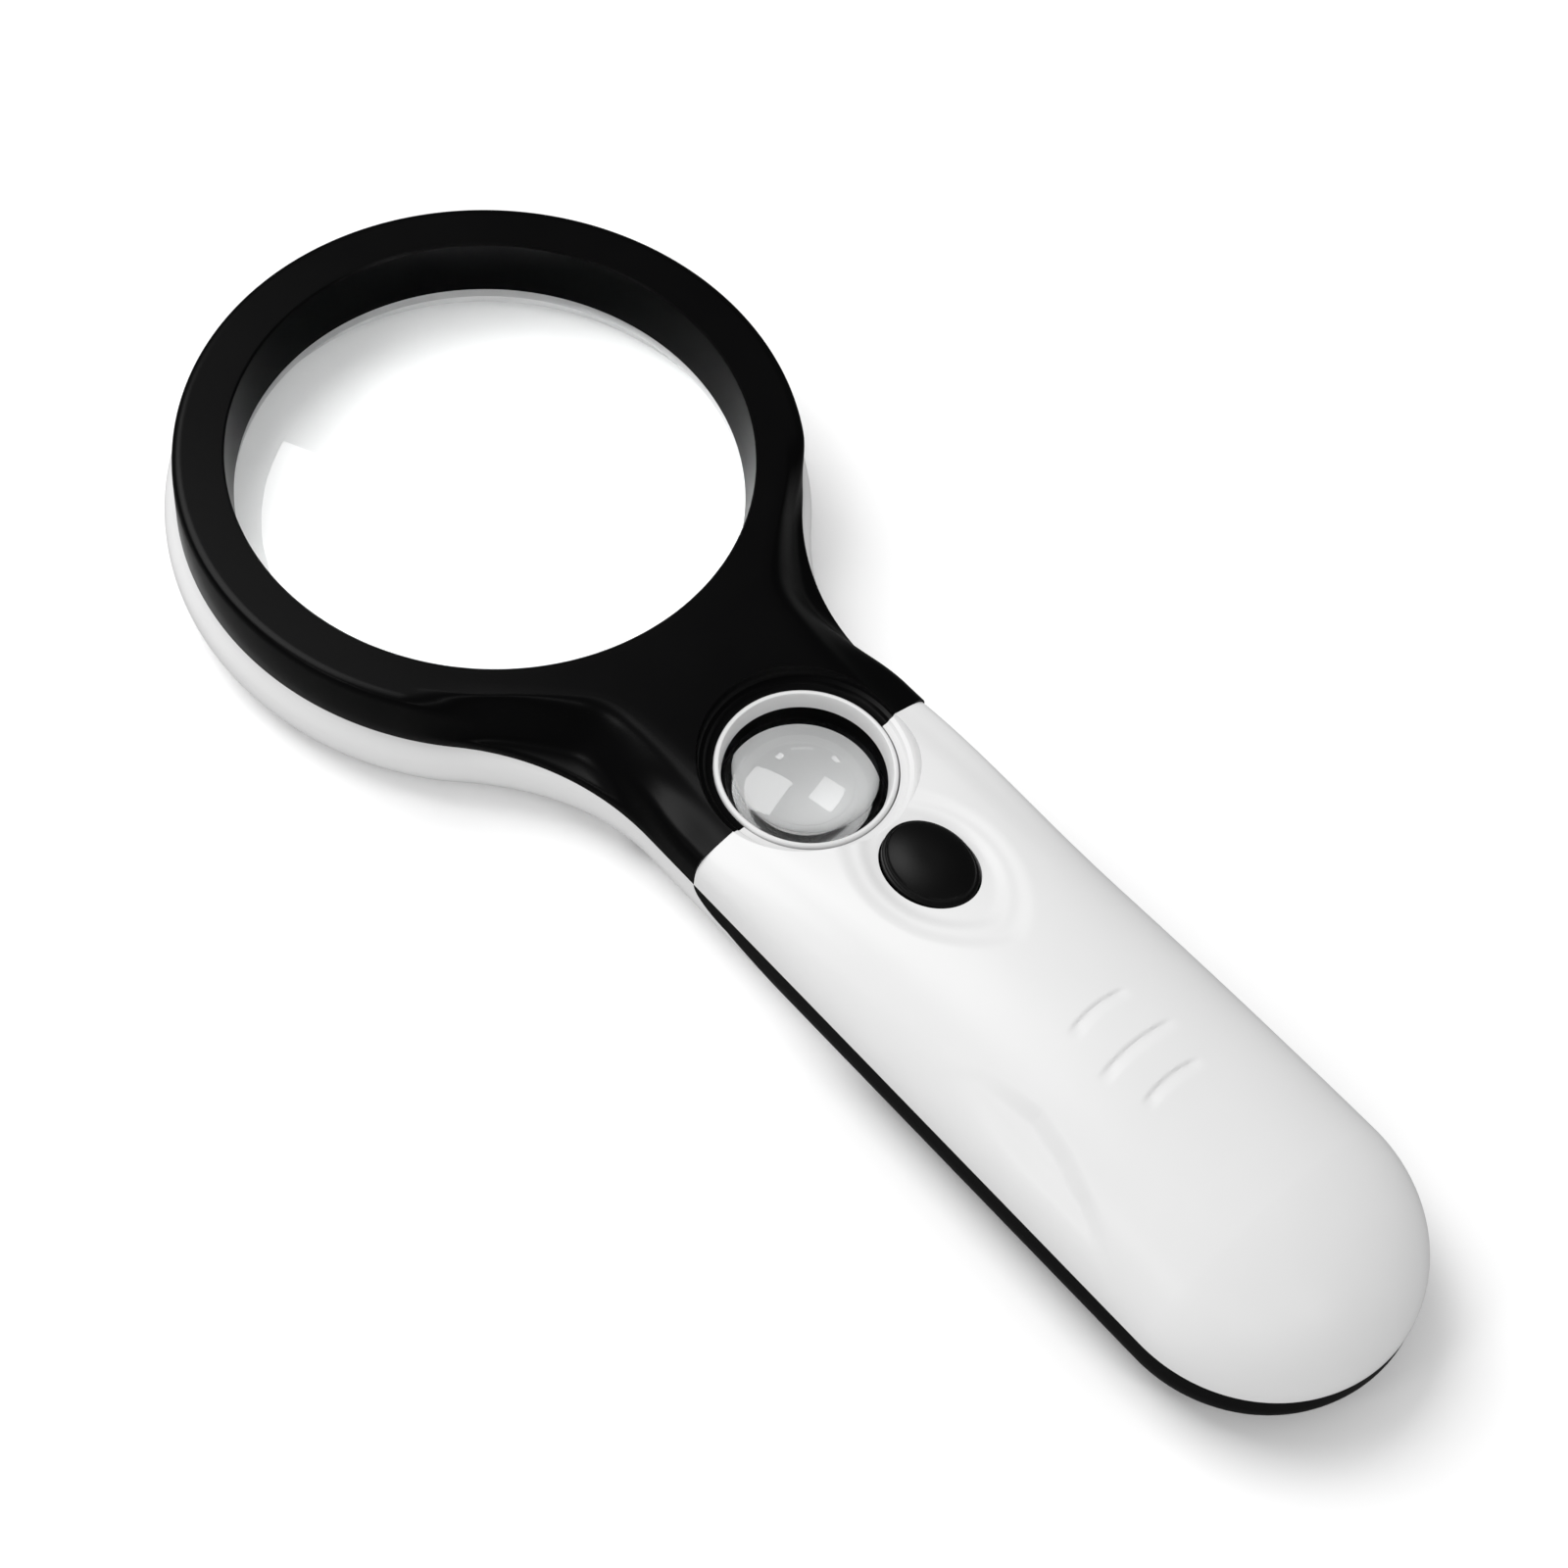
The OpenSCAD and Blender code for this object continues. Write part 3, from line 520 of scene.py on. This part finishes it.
def clear(name, tint, ior, rough):
    """Clear plastic that lets lamp light through to what lies under it."""
    material, nodes, links, shader = plain_material(name)
    shader.inputs["Base Color"].default_value = (*tint, 1)
    shader.inputs["Transmission Weight"].default_value = 1.0
    shader.inputs["IOR"].default_value = ior
    coords = nodes.new("ShaderNodeTexCoord")
    haze = nodes.new("ShaderNodeTexNoise")
    haze.inputs["Scale"].default_value = 60
    links.new(coords.outputs["Object"], haze.inputs["Vector"])
    gloss = nodes.new("ShaderNodeMapRange")
    gloss.inputs["To Min"].default_value = 0.0
    gloss.inputs["To Max"].default_value = rough
    links.new(haze.outputs["Fac"], gloss.inputs["Value"])
    links.new(gloss.outputs["Result"], shader.inputs["Roughness"])
    through = nodes.new("ShaderNodeBsdfTransparent")
    through.inputs["Color"].default_value = (*tint, 1)
    path = nodes.new("ShaderNodeLightPath")
    mix = nodes.new("ShaderNodeMixShader")
    output = next(n for n in nodes if n.type == "OUTPUT_MATERIAL")
    links.new(path.outputs["Is Shadow Ray"], mix.inputs["Fac"])
    links.new(shader.outputs["BSDF"], mix.inputs[1])
    links.new(through.outputs["BSDF"], mix.inputs[2])
    links.new(mix.outputs["Shader"], output.inputs["Surface"])
    return material


MATERIALS = {
    "black_abs": moulded("black_abs", (0.0014, 0.0014, 0.0015), (0.002, 0.002, 0.0021),
                         0.3, 0.03, 2600, 0.1, 0.09),
    "white_abs": moulded("white_abs", (0.67, 0.67, 0.67), (0.7, 0.7, 0.7),
                         0.36, 0.03, 1800, 0.06, 0.33),
    "button_rubber": moulded("button_rubber", (0.002, 0.002, 0.002), (0.003, 0.003, 0.003),
                             0.4, 0.05, 3200, 0.3, 0.15),
    "circuit_board": moulded("circuit_board", (0.02, 0.16, 0.06), (0.03, 0.22, 0.09),
                             0.35, 0.06, 900, 0.3, 0.5),
    "black_component": moulded("black_component", (0.012, 0.012, 0.013), (0.02, 0.02, 0.021),
                               0.5, 0.06, 2400, 0.4, 0.4),
    "ivory_plastic": moulded("ivory_plastic", (0.68, 0.66, 0.60), (0.74, 0.72, 0.66),
                             0.4, 0.05, 1500, 0.2, 0.5),
    "red_insulation": moulded("red_insulation", (0.42, 0.02, 0.015), (0.52, 0.03, 0.02),
                              0.38, 0.05, 1500, 0.2, 0.5),
    "black_insulation": moulded("black_insulation", (0.012, 0.012, 0.012), (0.022, 0.022, 0.022),
                                0.38, 0.05, 1500, 0.2, 0.5),
    "cell_wrap": moulded("cell_wrap", (0.03, 0.09, 0.17), (0.045, 0.13, 0.22),
                         0.28, 0.04, 700, 0.15, 0.5),
    "spring_steel": plated("spring_steel", (0.55, 0.56, 0.58), (0.72, 0.73, 0.75), 0.26, (1, 0.1, 1)),
    "lens_acrylic": clear("lens_acrylic", (0.985, 0.99, 0.99), 1.49, 0.012),
    "lamp_epoxy": clear("lamp_epoxy", (0.96, 0.97, 0.98), 1.5, 0.06),
}


def settle(piece, body, slot, *nodes):
    """Gives a new piece its material and body, and says which CAD nodes it stands for."""
    piece.data.materials.clear()
    piece.data.materials.append(MATERIALS[slot])
    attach(piece, body)
    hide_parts(*nodes)


# ---------------------------------------------------------------- cutters shared by the shells

REACH = 20 * MM              # cutters run this far past the parting plane

# Stepped dish round the small lens, as [radius, height] in millimetres
DISH = [(0, 5.2), (11.5, 5.2), (11.75, 5.25), (11.9, 5.4), (12.05, 5.6), (12.3, 5.68), (12.55, 5.75),
        (12.75, 6), (12.9, 6.5), (13, 7.2), (13.1, 8), (13.2, 13), (0, 13)]
TUBE_R = COLLAR_R - 0.15 * MM
SMALL_HOLE_R = 9.9 * MM
TUBE_TOP = small_low[2] - PART_Z
TUBE_SPLIT = -3.1 * MM       # where the tube passes from the front to the rear frame
SMALL_SEAT = -1.55 * MM
SCREWS = [(-14 * MM, -47 * MM), (14 * MM, -47 * MM),
          (-11.5 * MM, -71 * MM), (11.5 * MM, -71 * MM), (0, -144.8 * MM)]
BOSS_R = 2.7 * MM
LAMP_R = 2.5 * MM
LAMP_PLACES = [(40.6 * MM * math.sin(a), -40.6 * MM * math.cos(a)) for a in np.radians((-17, 0, 17))]
DOOR_HALF = door_high[0]
DOOR_HEAD_Y = door_high[1] - HEAD_Y
DOOR_GAP = 0.25 * MM
DOOR_LIFT = door_low[2]
BARREL_R = 1.2 * MM
HINGE_Y = door_low[1] + BARREL_R - HEAD_Y
HINGE_Z = -DEPTH + DOOR_LIFT + BARREL_R


def post(name, x, y, r, z0, z1, segments=48):
    return turned(name, [(0, z0), (r, z0), (r, z1), (0, z1)], (x, y), segments)


def box(name, x0, x1, y0, y1, z0, z1):
    return prism(name, [(x0, y0), (x1, y0), (x1, y1), (x0, y1)], z0, z1)


def bar(name, half, y, z, r):
    """A round bar across the width."""
    angles = np.linspace(0, 2 * np.pi, 48, endpoint=False)
    return across(name, [(y + r * math.cos(a), z + r * math.sin(a)) for a in angles], half)


def dish_cutter():
    return turned("dish_cutter", np.array(DISH) * MM, (0, SMALL_Y), 200)


def oval(half_x, half_y, cy):
    t = np.linspace(0, 2 * np.pi, 120, endpoint=False)
    return np.stack([half_x * np.cos(t), cy + half_y * np.sin(t)], axis=1)


def screw_pocket(x, y):
    """A screw's hole with the deep round pocket for its head."""
    return turned("pocket", [(0, -DEPTH - MM), (2.2 * MM, -DEPTH - MM), (2.2 * MM, -DEPTH + 3 * MM),
                             (1.15 * MM, -DEPTH + 3 * MM), (1.15 * MM, MM), (0, MM)], (x, y), 48)


def rear_cavity():
    """The space inside the rear shells, clear of the lens ring, the screw bosses and the lamps."""
    cavity = rear_body("cavity", WALL)
    cavity.location.z = 0.1 * MM
    bpy.context.view_layer.update()
    boolean(cavity, post("ring_block", 0, 0, RING_R - 0.2 * MM, -REACH, REACH, 160))
    for x, y in SCREWS:
        boolean(cavity, post("boss_block", x, y, BOSS_R, -REACH, REACH))
    for x, y in LAMP_PLACES:
        boolean(cavity, post("lamp_block", x, y, LAMP_R + 1.2 * MM, -REACH, -3.5 * MM))
    return cavity


# ---------------------------------------------------------------- front head frame

def build_front_head():
    """Black frame: ring, neck and the front half of the small lens tube."""
    body = loft("front_head_skin", head_rows(), cap_start=True)
    hollow = loft("hollow", head_rows(WALL), cap_start=True)
    hollow.location.z = -0.2 * MM
    bpy.context.view_layer.update()
    boolean(hollow, post("ring_block", 0, 0, RING_R, -REACH, REACH, 160))
    boolean(hollow, post("tube_block", 0, SMALL_Y, COLLAR_R + WALL, -REACH, REACH, 96))
    boolean(hollow, post("dish_block", 0, SMALL_Y, 14.2 * MM, 3.4 * MM, REACH, 96))
    for x, y in SCREWS[:2]:
        boolean(hollow, post("boss_block", x, y, BOSS_R, -REACH, REACH))
    boolean(body, hollow)
    boolean(body, box("seam_cut", -2 * REACH, 2 * REACH, SEAM_Y - REACH, SEAM_Y, -REACH, REACH))
    # Bore round the large lens with its rounded rim, as [radius, height] in millimetres
    wall = [(0, -5), (31.25, -5), (31.34, 0), (32.05, 7.25), (32.12, 7.5), (32.35, 7.7), (33.4, 8.4),
            (33.4, 12), (0, 12)]
    boolean(body, turned("lens_cut", np.array(wall) * MM, segments=256))
    boolean(body, dish_cutter())
    boolean(body, post("collar_cut", 0, SMALL_Y, COLLAR_R + 0.1 * MM, TUBE_TOP, REACH, 160))
    boolean(body, post("tube_hole", 0, SMALL_Y, SMALL_HOLE_R + 0.2 * MM, -REACH, REACH, 160))
    tube = [(SMALL_HOLE_R - MM, TUBE_SPLIT), (TUBE_R, TUBE_SPLIT), (TUBE_R, TUBE_TOP),
            (SMALL_HOLE_R, TUBE_TOP), (SMALL_HOLE_R, SMALL_SEAT), (SMALL_HOLE_R - MM, SMALL_SEAT)]
    boolean(body, turned("tube", tube, (0, SMALL_Y), 160, closed=True), "UNION")
    settle(body, "root", "black_abs", "front_head_frame")
    finish_shading(body)


# ---------------------------------------------------------------- front handle cover

def build_front_cover():
    """White front of the handle with the dish, the button's hole and the grip's details."""
    body = loft("front_cover_skin", cover_rows(), cap_start=True)
    hollow = loft("hollow", cover_rows(WALL), cap_start=True)
    hollow.location.z = -0.2 * MM
    bpy.context.view_layer.update()
    boolean(hollow, post("tube_block", 0, SMALL_Y, COLLAR_R + WALL, -REACH, REACH, 96))
    boolean(hollow, post("dish_block", 0, SMALL_Y, 14.2 * MM, 3.4 * MM, REACH, 96))
    boolean(hollow, prism("recess_block", oval(9.5 * MM, 14 * MM, BUTTON_Y), 7.8 * MM, REACH))
    for x, y in SCREWS[2:]:
        boolean(hollow, post("boss_block", x, y, BOSS_R, -REACH, REACH))
    boolean(body, hollow)
    boolean(body, box("seam_cut", -2 * REACH, 2 * REACH, SEAM_Y - SEAM_GAP, SEAM_Y + REACH,
                      -REACH, REACH))
    boolean(body, dish_cutter())
    boolean(body, post("collar_cut", 0, SMALL_Y, COLLAR_R + 0.15 * MM, -REACH, REACH, 160))
    button_hole = oval(BUTTON_HALF_X + 0.25 * MM, BUTTON_HALF_Y + 0.25 * MM, BUTTON_Y)
    boolean(body, prism("button_cut", button_hole, 2 * MM, REACH))
    settle(body, "root", "white_abs", "front_handle_cover")
    finish_shading(body)


# ---------------------------------------------------------------- rear shells and battery door

def build_rear_head():
    """White rear of the head with the lens seats, the lamp holes and the screw pockets."""
    body = rear_body("rear_head_skin")
    boolean(body, rear_cavity())
    boolean(body, seam_tool("head_side"), "INTERSECT")
    low = -DEPTH + 0.02 * MM
    high = TUBE_SPLIT - 0.1 * MM
    boolean(body, post("tube_hole", 0, SMALL_Y, 10.2 * MM, -REACH, REACH, 160))
    tube = [(9.4 * MM, low), (TUBE_R, low), (TUBE_R, high), (8.9 * MM, high),
            (8.9 * MM, -8 * MM), (9.1 * MM, -8.6 * MM)]
    boolean(body, turned("tube", tube, (0, SMALL_Y), 160, closed=True), "UNION")
    # Opening below the large lens, the lip it lies on and its seat, as [radius, height] in millimetres
    seat = [(0, -12), (33.6, -12), (33.4, -9), (33.1, -8.7), (32.1, -8.0), (31.3, -3.1), (33.15, -3.1),
            (33.15, 2), (0, 2)]
    boolean(body, turned("lens_cut", np.array(seat) * MM, segments=256))
    for x, y in SCREWS[:4]:
        boolean(body, screw_pocket(x, y))
    for x, y in LAMP_PLACES:
        boolean(body, post("lamp_cut", x, y, LAMP_R + 0.2 * MM, -REACH, REACH))
    settle(body, "root", "white_abs", "rear_head_frame")
    finish_shading(body)


def opening_outline(grow):
    """The door's plan with rounded corners at the head end."""
    half = DOOR_HALF + grow
    tail = HINGE_Y - (BARREL_R + grow if grow else 0)
    r = 2 * MM
    top = DOOR_HEAD_Y + grow
    corners = [(half, tail)] + [tuple(p) for p in arc(half - r, top - r, r, 0, 90, 10)]
    return corners + [(-x, y) for x, y in reversed(corners)]


def build_rear_cover():
    """Black rear of the handle with the battery opening and the two cheeks of the hinge."""
    body = rear_body("rear_cover_skin")
    boolean(body, rear_cavity())
    boolean(body, seam_tool("head_side", SEAM_GAP))
    boolean(body, prism("opening", opening_outline(DOOR_GAP), -REACH, -2.8 * MM))
    for side in (-1, 1):
        cheek = rear_body("cheek", DOOR_LIFT)
        middle = side * 9.95 * MM
        boolean(cheek, box("cheek_box", middle - 0.75 * MM, middle + 0.75 * MM,
                           HINGE_Y - 2.2 * MM, HINGE_Y + 1.4 * MM, -REACH, -DEPTH + 3 * MM), "INTERSECT")
        boolean(body, cheek, "UNION")
    boolean(body, post("tube_space", 0, SMALL_Y, TUBE_R + 0.2 * MM, -REACH, REACH, 160))
    boolean(body, bar("pin_bore", 10.8 * MM, HINGE_Y, HINGE_Z, 0.55 * MM))
    boolean(body, screw_pocket(*SCREWS[4]))
    settle(body, "root", "black_abs", "rear_handle_cover")
    finish_shading(body)


def build_door():
    """Battery door with its fingernail hollow, hinge barrel and pins."""
    body = rear_body("battery_door_skin", DOOR_LIFT)
    inner = rear_body("door_inner", WALL)
    boolean(body, prism("door_plan", opening_outline(0), -REACH, -3 * MM), "INTERSECT")
    boolean(body, inner)
    scoop_y = DOOR_HEAD_Y - 5.5 * MM
    boolean(body, bar("scoop", 6 * MM, scoop_y, -DEPTH - 1.3 * MM, 2.2 * MM))
    for side in (-1, 1):
        boolean(body, box("notch", side * 10 * MM - 1.1 * MM, side * 10 * MM + 1.1 * MM,
                          HINGE_Y - MM, HINGE_Y + 2.4 * MM, -REACH, 0))
    boolean(body, bar("barrel", 8.9 * MM, HINGE_Y, HINGE_Z, BARREL_R), "UNION")
    boolean(body, bar("pins", 10.5 * MM, HINGE_Y, HINGE_Z, 0.5 * MM), "UNION")
    settle(body, "door", "black_abs", "battery_door")
    finish_shading(body)


# ---------------------------------------------------------------- button, lenses and collar

BUTTON_HALF_X = 4.95 * MM
BUTTON_HALF_Y = 6.2 * MM


def build_button():
    """Oval rubber cap: a skirt with a rolled top edge, a narrow step and a low dome."""
    base = cap_low[2] - PART_Z
    top = BUTTON_TOP
    lip = 7.7 * MM
    side = rounded([(1.0, lip), (1.0, top - 2.0 * MM), (0.995, top - 1.55 * MM), (0.95, top - 1.45 * MM),
                    (0.93, top - 1.4 * MM), (0.925, top - 1.25 * MM), (0.90, top - 0.95 * MM)], 2)
    share = np.linspace(0.90, 0, 26)
    dome = np.column_stack([share, top - 0.95 * MM * (share / 0.90) ** 2.6])
    profile = np.vstack([side, dome[1:]])
    rows = []
    for a in np.linspace(0, 2 * np.pi, 120, endpoint=False):
        reach_x = BUTTON_HALF_X * math.cos(a)
        reach_y = BUTTON_HALF_Y * math.sin(a)
        rows.append([(reach_x * s, BUTTON_Y + reach_y * s, z) for s, z in profile])
    n, m = len(rows), len(profile)
    faces = [(i * m + j, ((i + 1) % n) * m + j, ((i + 1) % n) * m + j + 1, i * m + j + 1)
             for i in range(n) for j in range(m - 1)]
    faces.append([i * m for i in range(n)])
    cap = new_piece("power_button_cap", np.array(rows).reshape(-1, 3), faces)
    stem = post("stem", 0, BUTTON_Y, 2 * MM, base, lip + MM)
    boolean(cap, stem, "UNION")
    settle(cap, "button", "button_rubber", "power_button")
    finish_shading(cap, 40)


def lens_profile(r, low, high, edge):
    """Half a biconvex section from the lower vertex round to the upper one."""
    sag = (high - low - edge) / 2
    curve = (r * r + sag * sag) / (2 * sag)
    x = r * np.sin(np.linspace(0, np.pi / 2, 40))
    drop = curve - np.sqrt(curve**2 - x**2)
    under = np.column_stack([x, low + drop])
    over = np.column_stack([x, high - drop])[::-1]
    return np.vstack([under, over])


def build_lenses():
    """Both lenses on the sizes of their CAD nodes."""
    curve = lens_profile(lens_high[0], lens_low[2] - PART_Z, lens_high[2] - PART_Z, 1.56 * MM)
    big = turned("main_lens_body", curve, segments=200)
    settle(big, "root", "lens_acrylic", "main_lens")
    finish_shading(big, 50)
    eye_low, eye_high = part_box("small_lens")
    curve = lens_profile(eye_high[0], eye_low[2] - PART_Z, eye_high[2] - PART_Z, 1.4 * MM)
    small = turned("small_lens_body", curve, (0, SMALL_Y), 160)
    settle(small, "root", "lens_acrylic", "small_lens")
    finish_shading(small, 50)


def build_collar():
    """White ring with a thin rim, a rolled edge and a funnel down to the small lens."""
    top = COLLAR_TOP
    edge = COLLAR_R
    profile = [(9.8 * MM, TUBE_TOP), (edge, TUBE_TOP), (edge, top - 0.4 * MM),
               (edge - 0.08 * MM, top - 0.16 * MM), (edge - 0.24 * MM, top - 0.03 * MM),
               (edge - 0.4 * MM, top), (edge - 0.6 * MM, top - 0.06 * MM),
               (edge - 0.75 * MM, top - 0.3 * MM), (9.87 * MM, TUBE_TOP + 0.6 * MM)]
    ring = turned("small_lens_ring", profile, (0, SMALL_Y), 200, closed=True)
    settle(ring, "root", "white_abs", "small_lens_collar")
    finish_shading(ring, 40)


# ---------------------------------------------------------------- everything else

NODE_SLOTS = {row["node"]: row["material_slot"] for row in frame["record"]["subparts"]}


def dress_cad_nodes():
    """Gives every CAD node the material of its slot."""
    for name, node in frame["nodes"].items():
        material = MATERIALS[NODE_SLOTS[name]]
        if not node.data.materials:
            node.data.materials.append(material)
        for i in range(len(node.data.materials)):
            node.data.materials[i] = material


# ---------------------------------------------------------------- floor, lights and camera

def mirrored_rays(nodes, links):
    """1 for rays mirrored off a surface, 0 for all others."""
    path = nodes.new("ShaderNodeLightPath")
    both = nodes.new("ShaderNodeMath")
    both.operation = "MULTIPLY"
    links.new(path.outputs["Is Glossy Ray"], both.inputs[0])
    links.new(path.outputs["Is Reflection Ray"], both.inputs[1])
    return both.outputs["Value"]


def build_floor():
    """White paper that looks dark in reflections, so that black flanks stay black."""
    mesh = bpy.data.meshes.new("floor")
    size = 3.0
    z = -0.2 * MM
    corners = [(-size, -size, z), (size, -size, z), (size, size, z), (-size, size, z)]
    mesh.from_pydata(corners, [], [(0, 1, 2, 3)])
    floor = bpy.data.objects.new("floor", mesh)
    bpy.context.scene.collection.objects.link(floor)
    material, nodes, links, shader = plain_material("floor_paper")
    tint = nodes.new("ShaderNodeMixRGB")
    tint.inputs["Color1"].default_value = (0.97, 0.97, 0.97, 1)
    tint.inputs["Color2"].default_value = (0.12, 0.12, 0.12, 1)
    links.new(mirrored_rays(nodes, links), tint.inputs["Fac"])
    links.new(tint.outputs["Color"], shader.inputs["Base Color"])
    shader.inputs["Roughness"].default_value = 0.9
    shader.inputs["Specular IOR Level"].default_value = 0.1
    floor.data.materials.append(material)


def area_light(name, place, target, size, power):
    light = bpy.data.lights.new(name, "AREA")
    light.shape = "RECTANGLE"
    light.size, light.size_y = size
    light.energy = power
    lamp = bpy.data.objects.new(name, light)
    bpy.context.scene.collection.objects.link(lamp)
    lamp.location = place
    lamp.rotation_euler = (Vector(target) - Vector(place)).to_track_quat("-Z", "Y").to_euler()


def build_lights():
    """White surroundings that are dim in reflections, a large panel, two soft boxes and a strip."""
    world = bpy.data.worlds.new("studio")
    bpy.context.scene.world = world
    world.use_nodes = True
    nodes = world.node_tree.nodes
    links = world.node_tree.links
    strength = nodes.new("ShaderNodeMapRange")
    strength.inputs["To Min"].default_value = 0.62
    strength.inputs["To Max"].default_value = 0.06
    links.new(mirrored_rays(nodes, links), strength.inputs["Value"])
    links.new(strength.outputs["Result"], nodes["Background"].inputs["Strength"])
    nodes["Background"].inputs["Color"].default_value = (1, 1, 1, 1)
    area_light("top_panel", (-0.10, 0.45, 0.66), (0, 0, 0), (0.5, 0.5), 4.2)
    area_light("left_box", (-0.66, 0.06, 0.46), (0, -0.05, 0), (0.14, 0.14), 0.5)
    area_light("right_box", (0.04, -0.64, 0.62), (0, -0.05, 0), (0.14, 0.14), 0.5)
    area_light("front_strip", (-0.38, -0.49, 0.56), (0, 0, 0), (0.4, 0.08), 0.45)


CAMERA_AZIMUTH = -49.81      # degrees round from the tail's side
CAMERA_ELEVATION = 57.73     # degrees above the floor
CAMERA_ROLL = 9.06           # degrees


def build_camera():
    """Camera at the angle of the picture that the part follows."""
    data = bpy.data.cameras.new("camera")
    data.sensor_width = 36
    data.lens = 77.2
    data.clip_start = 0.01
    camera = bpy.data.objects.new("camera", data)
    bpy.context.scene.collection.objects.link(camera)
    azimuth = math.radians(CAMERA_AZIMUTH)
    elevation = math.radians(CAMERA_ELEVATION)
    back = Vector((math.sin(azimuth) * math.cos(elevation), -math.cos(azimuth) * math.cos(elevation),
                   math.sin(elevation)))
    level = Vector((math.cos(azimuth), math.sin(azimuth), 0))
    upright = Matrix((level, back.cross(level), back)).transposed().to_4x4()
    roll = Matrix.Rotation(math.radians(CAMERA_ROLL), 4, "Z")
    place = Matrix.Translation((-0.1619, HEAD_Y - 0.1909, PART_Z + 0.3337))
    camera.matrix_world = place @ upright @ roll
    bpy.context.scene.camera = camera


build_front_head()
build_front_cover()
build_rear_head()
build_rear_cover()
build_door()
build_button()
build_lenses()
build_collar()
dress_cad_nodes()
build_floor()
build_lights()
build_camera()
bpy.context.scene.view_settings.view_transform = "Standard"
